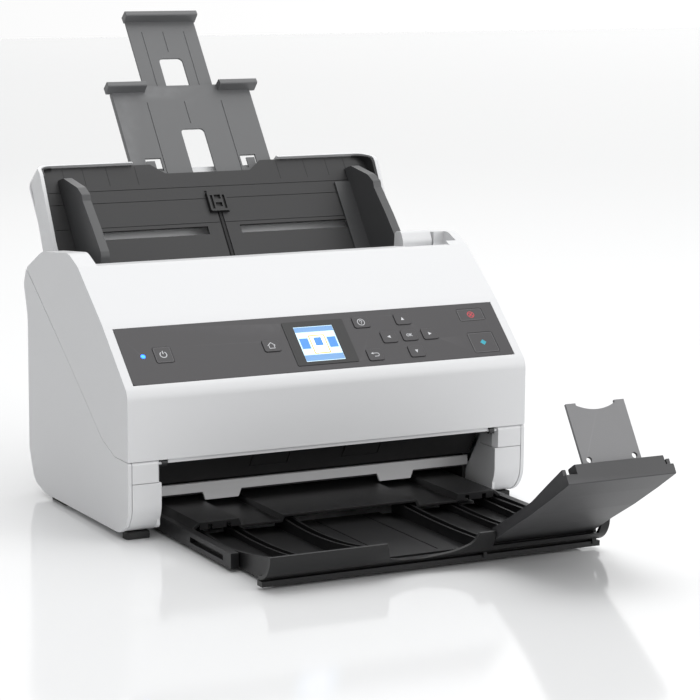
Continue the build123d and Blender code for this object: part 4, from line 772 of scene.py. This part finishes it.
def glyph_outlines(glyph: Glyph) -> list[list[Point]]:
    """Outlines of a key's mark, centred on the origin, in metres."""
    line = 0.45 * MM
    unit = MM
    if glyph is Glyph.POWER:
        return ring_outlines(2.3 * unit, 0.6 * unit, 32) + [bar((0, 0.4 * unit), (0, 3.1 * unit), 0.6 * unit)]
    if glyph is Glyph.HOME:
        roof = [bar((-2.8 * unit, 0), (0, 2.5 * unit), line), bar((0, 2.5 * unit), (2.8 * unit, 0), line)]
        walls = [bar((-1.9 * unit, 0.4 * unit), (-1.9 * unit, -2.2 * unit), line),
                 bar((1.9 * unit, 0.4 * unit), (1.9 * unit, -2.2 * unit), line),
                 bar((-2.1 * unit, -2.2 * unit), (2.1 * unit, -2.2 * unit), line)]
        return roof + walls
    if glyph is Glyph.HELP:
        hook = [moved(arc_band(0.8 * unit, line, 175, -60), 0, 0.6 * unit),
                bar((0.1 * unit, -0.1 * unit), (0, -0.8 * unit), line),
                moved(disc_outline(0.3 * unit, 12), 0, -1.4 * unit)]
        return ring_outlines(2.6 * unit, line) + hook
    if glyph is Glyph.BACK:
        return [bar((-1.6 * unit, 1.0 * unit), (1.5 * unit, 1.0 * unit), line),
                moved(arc_band(1.3 * unit, line, 90, -90), 1.5 * unit, -0.3 * unit),
                bar((1.5 * unit, -1.6 * unit), (-0.8 * unit, -1.6 * unit), line),
                moved(triangle(1.1 * unit, 180), -1.9 * unit, 1.0 * unit)]
    if glyph is Glyph.OK:
        return ([moved(o, -1.1 * unit, 0) for o in ring_outlines(0.95 * unit, line)]
                + [bar((0.5 * unit, 1.15 * unit), (0.5 * unit, -1.15 * unit), line),
                   bar((0.6 * unit, 0), (1.9 * unit, 1.15 * unit), line),
                   bar((0.9 * unit, 0.2 * unit), (2.0 * unit, -1.15 * unit), line)])
    if glyph is Glyph.STOP:
        mark = [bar((-1.2 * unit, -1.2 * unit), (1.2 * unit, 1.2 * unit), 0.6 * unit),
                bar((-1.2 * unit, 1.2 * unit), (1.2 * unit, -1.2 * unit), 0.6 * unit)]
        return mark + ring_outlines(2.4 * unit, 0.5 * unit)
    if glyph is Glyph.START:
        return [[(0, 2.4 * unit), (-2.4 * unit, 0), (0, -2.4 * unit), (2.4 * unit, 0)]]
    angles = {Glyph.UP: 90, Glyph.LEFT: 180, Glyph.RIGHT: 0, Glyph.DOWN: 270}
    return [triangle(1.5 * unit, angles[glyph])]


@dataclass
class ControlPanel(Sub):
    """Sloping panel with its keys, marks, lamp and screen."""

    mark_height: float = 0.04 * MM
    rim_inset: float = 3.2 * MM
    rim_line: float = 0.16 * MM
    picture_width: float = 28.6 * MM
    picture_height: float = 29.0 * MM
    board: Placement = field(init=False)
    shop: PlateShop = field(init=False)

    def __post_init__(self) -> None:
        """Lays the drawing board on the panel."""
        press = Vector(joint("ok_button_press")["axis"])
        self.board = board_on("control_panel", -press)
        self.shop = PlateShop(self.board)

    def build(self) -> None:
        """Dresses the panel's nodes and adds the marks and the screen's picture."""
        self.wardrobe.dress_node("control_panel", Finish.PANEL, 0.0003)
        self.wardrobe.dress_node("lcd_bezel", Finish.INNER, 0.0003)
        self.wardrobe.dress_node("lcd_screen", Finish.SCREEN, 0.0002)
        self.wardrobe.dress_node("status_light", Finish.LAMP, 0.0003)
        self.wardrobe.dress_node("panel_board", Finish.BOARD)
        for glyph in Glyph:
            self.wardrobe.dress_node(glyph.value, Finish.KEY, 0.00015)
            self.key_mark(glyph)
        self.key_rims()
        self.screen_picture()

    def key_mark(self, glyph: Glyph) -> None:
        """Prints a mark on a key."""
        low, high = self.board.span(glyph.value)
        middle = (low + high) / 2
        outlines = [moved(o, middle.x, middle.y) for o in glyph_outlines(glyph)]
        mark = self.shop.build(f"mark_{glyph.value}", outlines, high.z - INK_ROOT, high.z + self.mark_height)
        finish = {Glyph.STOP: Finish.INK_RED, Glyph.START: Finish.INK_TEAL}.get(glyph, Finish.INK_PALE)
        self.add(mark, f"{glyph.value}_body", finish, "key_plastic")

    def key_rims(self) -> None:
        """Fine pale outlines around the power key and the stop and start keys."""
        for glyph in (Glyph.POWER, Glyph.STOP, Glyph.START):
            low, high = self.board.span(glyph.value)
            middle = (low + high) / 2
            width = high.x - low.x - self.rim_inset
            height = high.y - low.y - self.rim_inset
            frame_bars = frame_outlines(width, height, self.rim_line)
            outlines = [moved(o, middle.x, middle.y) for o in frame_bars]
            rim = self.shop.build(f"rim_{glyph.value}", outlines, high.z - INK_ROOT, high.z + INK_LIFT)
            self.add(rim, f"{glyph.value}_body", Finish.INK_DIM, "key_plastic")

    def screen_picture(self) -> None:
        """Generic picture on the small screen: a bar, three tiles and a frame around the middle one."""
        low, high = self.board.span("lcd_screen")
        middle = (low + high) / 2
        width, height = self.picture_width, self.picture_height
        top = high.z

        def strip(name: str, x: float, y: float, w: float, h: float, finish: Finish, lift: float) -> None:
            """One flat patch of the picture, placed by shares of the screen."""
            outline = moved(rounded_outline(w * width, h * height, 0.3 * MM, 3),
                            middle.x + x * width, middle.y + y * height)
            patch = self.shop.build(name, [outline], top - INK_ROOT, top + lift)
            self.add(patch, "cover", finish, "screen_glass")

        strip("screen_title", 0, 0.42, 1.0, 0.14, Finish.SCREEN_BAR, 0.00003)
        strip("screen_footer", 0, -0.40, 1.0, 0.17, Finish.SCREEN_BAR, 0.00003)
        strip("screen_frame", 0, -0.02, 0.42, 0.54, Finish.SCREEN_ORANGE, 0.00003)
        strip("screen_tile_middle", 0, -0.02, 0.36, 0.48, Finish.SCREEN_WHITE, 0.00005)
        strip("screen_tile_left", -0.36, 0.02, 0.22, 0.3, Finish.SCREEN_BLUE, 0.00004)
        strip("screen_tile_right", 0.36, 0.02, 0.22, 0.3, Finish.SCREEN_BLUE, 0.00004)
        strip("screen_sheet", 0, 0.06, 0.2, 0.24, Finish.SCREEN_BLUE, 0.00007)


@dataclass
class PaperFeed(Sub):
    """Input tray, its clip and scale, the edge guides and the sliding supports."""

    inner_half: float = 100 * MM
    # half width and length of the strip of painted shade that stands for the tray's centre groove
    groove_shade_half: float = 0.9 * MM
    groove_shade_length: float = 56 * MM
    scale_top: float = 1.5 * MM
    scale_width: float = 0.45 * MM
    scale_marks: tuple[Point, ...] = ((56, 15), (78, 15), (96, 14), (111, 9))
    board: Placement = field(init=False)

    def __post_init__(self) -> None:
        """Lays the drawing board on the tray, with its along direction up the tray."""
        up = Vector(joint("lower_support_slide")["axis"])
        out = Vector((1.0, 0.0, 0.0)).cross(up)
        board = board_on("input_tray", out)
        middle = [v.co for v in frame["nodes"]["input_tray"].data.vertices if abs(v.co.x) < self.inner_half]
        lift = max((place - board.origin).dot(out) for place in middle)
        self.board = Placement(board.point(0.0, 0.0, lift), board.across, board.along, board.out)

    def build(self) -> None:
        """Dresses the tray's nodes and adds the scale lines and a strip of painted shade for the centre
        groove.
        """
        self.wardrobe.dress_node("input_tray", Finish.TRAY)
        self.wardrobe.dress_node("centre_clip", Finish.INNER, 0.0003)
        self.wardrobe.dress_node("left_edge_guide", Finish.GUIDE, 0.0004)
        self.wardrobe.dress_node("right_edge_guide", Finish.GUIDE, 0.0004)
        self.wardrobe.dress_node("guide_pinion", Finish.GEAR)
        self.wardrobe.dress_node("lower_support", Finish.SUPPORT, 0.0003)
        self.wardrobe.dress_node("upper_support", Finish.SUPPORT, 0.0003)
        self.scale_lines()
        self.paint_groove_shade()

    def scale_lines(self) -> None:
        """Short lines near the tray's top edge that mark sheet widths."""
        _, high = self.board.span("input_tray")
        lines = []
        for x, length in self.scale_marks:
            for side in (-1, 1):
                a = (side * x * MM, high.y - self.scale_top)
                b = (side * x * MM, high.y - self.scale_top - length * MM)
                lines.append(bar(a, b, self.scale_width))
        scale = PlateShop(self.board).build("tray_scale", lines, -LINE_ROOT, INK_LIFT)
        self.add(scale, "base", Finish.SEAM, "tray_plastic")

    def paint_groove_shade(self) -> None:
        """Flat dark strip of painted shade where a groove runs down the middle of the tray from the clip; it
        has no recess and stands slightly proud.
        """
        low, _ = self.board.span("centre_clip")
        a = (0.0, low.y + 0.5 * MM)
        b = (0.0, low.y - self.groove_shade_length)
        # the groove's darkness is painted shade on a flat strip, not a real recess
        shade_strip = PlateShop(self.board).build("tray_groove_painted_shade", [bar(a, b, 2 * self.groove_shade_half)],
                                             -LINE_ROOT, INK_LIFT)
        self.add(shade_strip, "base", Finish.SEAM, "tray_plastic")


@dataclass
class Stacker(Sub):
    """Output tray, its extension, the flap and the stopper plate."""

    def build(self) -> None:
        """Dresses the stacker's nodes."""
        self.wardrobe.dress_node("output_tray", Finish.STACKER, 0.0004)
        self.wardrobe.dress_node("output_extension", Finish.STACKER, 0.0005)
        self.wardrobe.dress_node("stopper_flap", Finish.FLAP, 0.0006)
        self.wardrobe.dress_node("stopper_plate", Finish.PLATE, 0.0004)


@dataclass
class Mechanism(Sub):
    """Everything inside: guides, frames, rollers, gears, boards and sockets."""

    def build(self) -> None:
        """Dresses the inner nodes."""
        looks = {
            Finish.INNER: ["base_chassis", "lower_paper_guide", "upper_paper_guide", "lower_scan_module",
                           "upper_scan_module", "pickup_roller"],
            Finish.BAR: ["exit_guide_bar", "feed_pinch_roller", "exit_pinch_roller"],
            Finish.STEEL: ["side_frames", "feed_motor", "motor_pinion", "feed_shaft", "exit_shaft",
                           "rear_sockets"],
            Finish.TYRE: ["feed_tyres", "exit_tyres", "separation_roller", "rubber_feet"],
            Finish.GEAR: ["feed_gear", "exit_gear", "exit_idler_gear", "pickup_idler_gear"],
            Finish.PANE: ["lower_scan_glass", "upper_scan_glass"],
            Finish.BOARD: ["main_board"],
        }
        rounded = {"base_chassis", "lower_paper_guide", "upper_paper_guide", "exit_guide_bar", "rubber_feet"}
        for finish, nodes in looks.items():
            for node in nodes:
                self.wardrobe.dress_node(node, finish, 0.0003 if node in rounded else 0.0)


# ------------------------------------------------------------------ studio
@dataclass
class Studio:
    """Pale floor, soft lights and the camera."""

    azimuth: float = -27.5296
    elevation: float = 9.7402
    roll: float = 0.4525
    distance: float = 1.774825
    lens: float = 132.507
    target: Vector = Vector((0.042345, 0.028889, 0.103857))
    dim_side: float = 0.5
    bright_side: float = 1.2
    floor_half: float = 6.0
    floor_colour: Colour = (0.86, 0.865, 0.87)

    def build(self) -> None:
        """Sets up the floor, the world, the lights and the camera."""
        self.floor()
        self.world()
        self.lights()
        self.camera()

    def floor(self) -> None:
        """A large pale floor with a soft sheen."""
        mesh = bpy.data.meshes.new("floor")
        half = self.floor_half
        mesh.from_pydata([(-half, -half, 0), (half, -half, 0), (half, half, 0), (-half, half, 0)], [],
                         [(0, 1, 2, 3)])
        floor = new_object("floor", mesh)
        desk = MaterialDesk("floor_pale")
        desk.shader.inputs["Base Color"].default_value = (*self.floor_colour, 1.0)
        noise = desk.nodes.new("ShaderNodeTexNoise")
        noise.inputs["Scale"].default_value = 3.0
        rough = desk.ranged(noise.outputs[0], 0.09, 0.13)
        desk.links.new(rough, desk.shader.inputs["Roughness"])
        mesh.materials.append(desk.material)

    def world(self) -> None:
        """Pale surroundings, a little dimmer on the left than on the right."""
        world = bpy.data.worlds.new("studio")
        bpy.context.scene.world = world
        world.use_nodes = True
        ground = world.node_tree.nodes["Background"]
        ground.inputs["Color"].default_value = (1.0, 1.0, 1.0, 1.0)
        place = world.node_tree.nodes.new("ShaderNodeTexCoord")
        split = world.node_tree.nodes.new("ShaderNodeSeparateXYZ")
        level = world.node_tree.nodes.new("ShaderNodeMapRange")
        level.inputs["From Min"].default_value = -1.0
        level.inputs["To Min"].default_value = self.dim_side
        level.inputs["To Max"].default_value = self.bright_side
        links = world.node_tree.links
        links.new(place.outputs["Generated"], split.inputs[0])
        links.new(split.outputs["X"], level.inputs["Value"])
        links.new(level.outputs[0], ground.inputs["Strength"])
        bpy.context.scene.view_settings.view_transform = "Standard"

    def lights(self) -> None:
        """Large soft lamps: above, to the front right, and a weak one behind."""
        for name, place, size, power in (
            ("top_lamp", (0.2, 0.1, 1.6), 1.4, 9.0),
            ("front_lamp", (1.4, -1.5, 0.9), 1.2, 12.0),
            ("back_lamp", (0.4, 1.6, 1.2), 1.0, 2.0),
        ):
            lamp = bpy.data.lights.new(name, "AREA")
            lamp.size = size
            lamp.energy = power
            thing = bpy.data.objects.new(name, lamp)
            bpy.context.scene.collection.objects.link(thing)
            thing.location = place
            aim = Vector((0.0, 0.0, 0.12)) - Vector(place)
            thing.rotation_euler = aim.to_track_quat("-Z", "Y").to_euler()

    def camera(self) -> None:
        """Camera at the reference view."""
        turn, lift = math.radians(self.azimuth), math.radians(self.elevation)
        back = Vector((math.sin(turn) * math.cos(lift), -math.cos(turn) * math.cos(lift), math.sin(lift)))
        right = (-back).cross(Vector((0, 0, 1))).normalized()
        up = right.cross(-back)
        tilt = math.radians(self.roll)
        across = right * math.cos(tilt) + up * math.sin(tilt)
        above = up * math.cos(tilt) - right * math.sin(tilt)
        lens = bpy.data.cameras.new("camera")
        lens.sensor_width = 36.0
        lens.lens = self.lens
        lens.clip_end = 20.0
        thing = bpy.data.objects.new("camera", lens)
        bpy.context.scene.collection.objects.link(thing)
        basis = Matrix((across, above, back)).transposed().to_4x4()
        thing.matrix_world = Matrix.Translation(self.target + back * self.distance) @ basis
        bpy.context.scene.camera = thing


def main() -> None:
    """Builds every sub-assembly in order."""
    logging.basicConfig(level=logging.INFO, format="%(name)s: %(message)s")
    wardrobe = Wardrobe()
    Studio().build()
    Shell(wardrobe).build()
    ControlPanel(wardrobe).build()
    PaperFeed(wardrobe).build()
    Stacker(wardrobe).build()
    Mechanism(wardrobe).build()


if __name__ == "__main__":
    main()
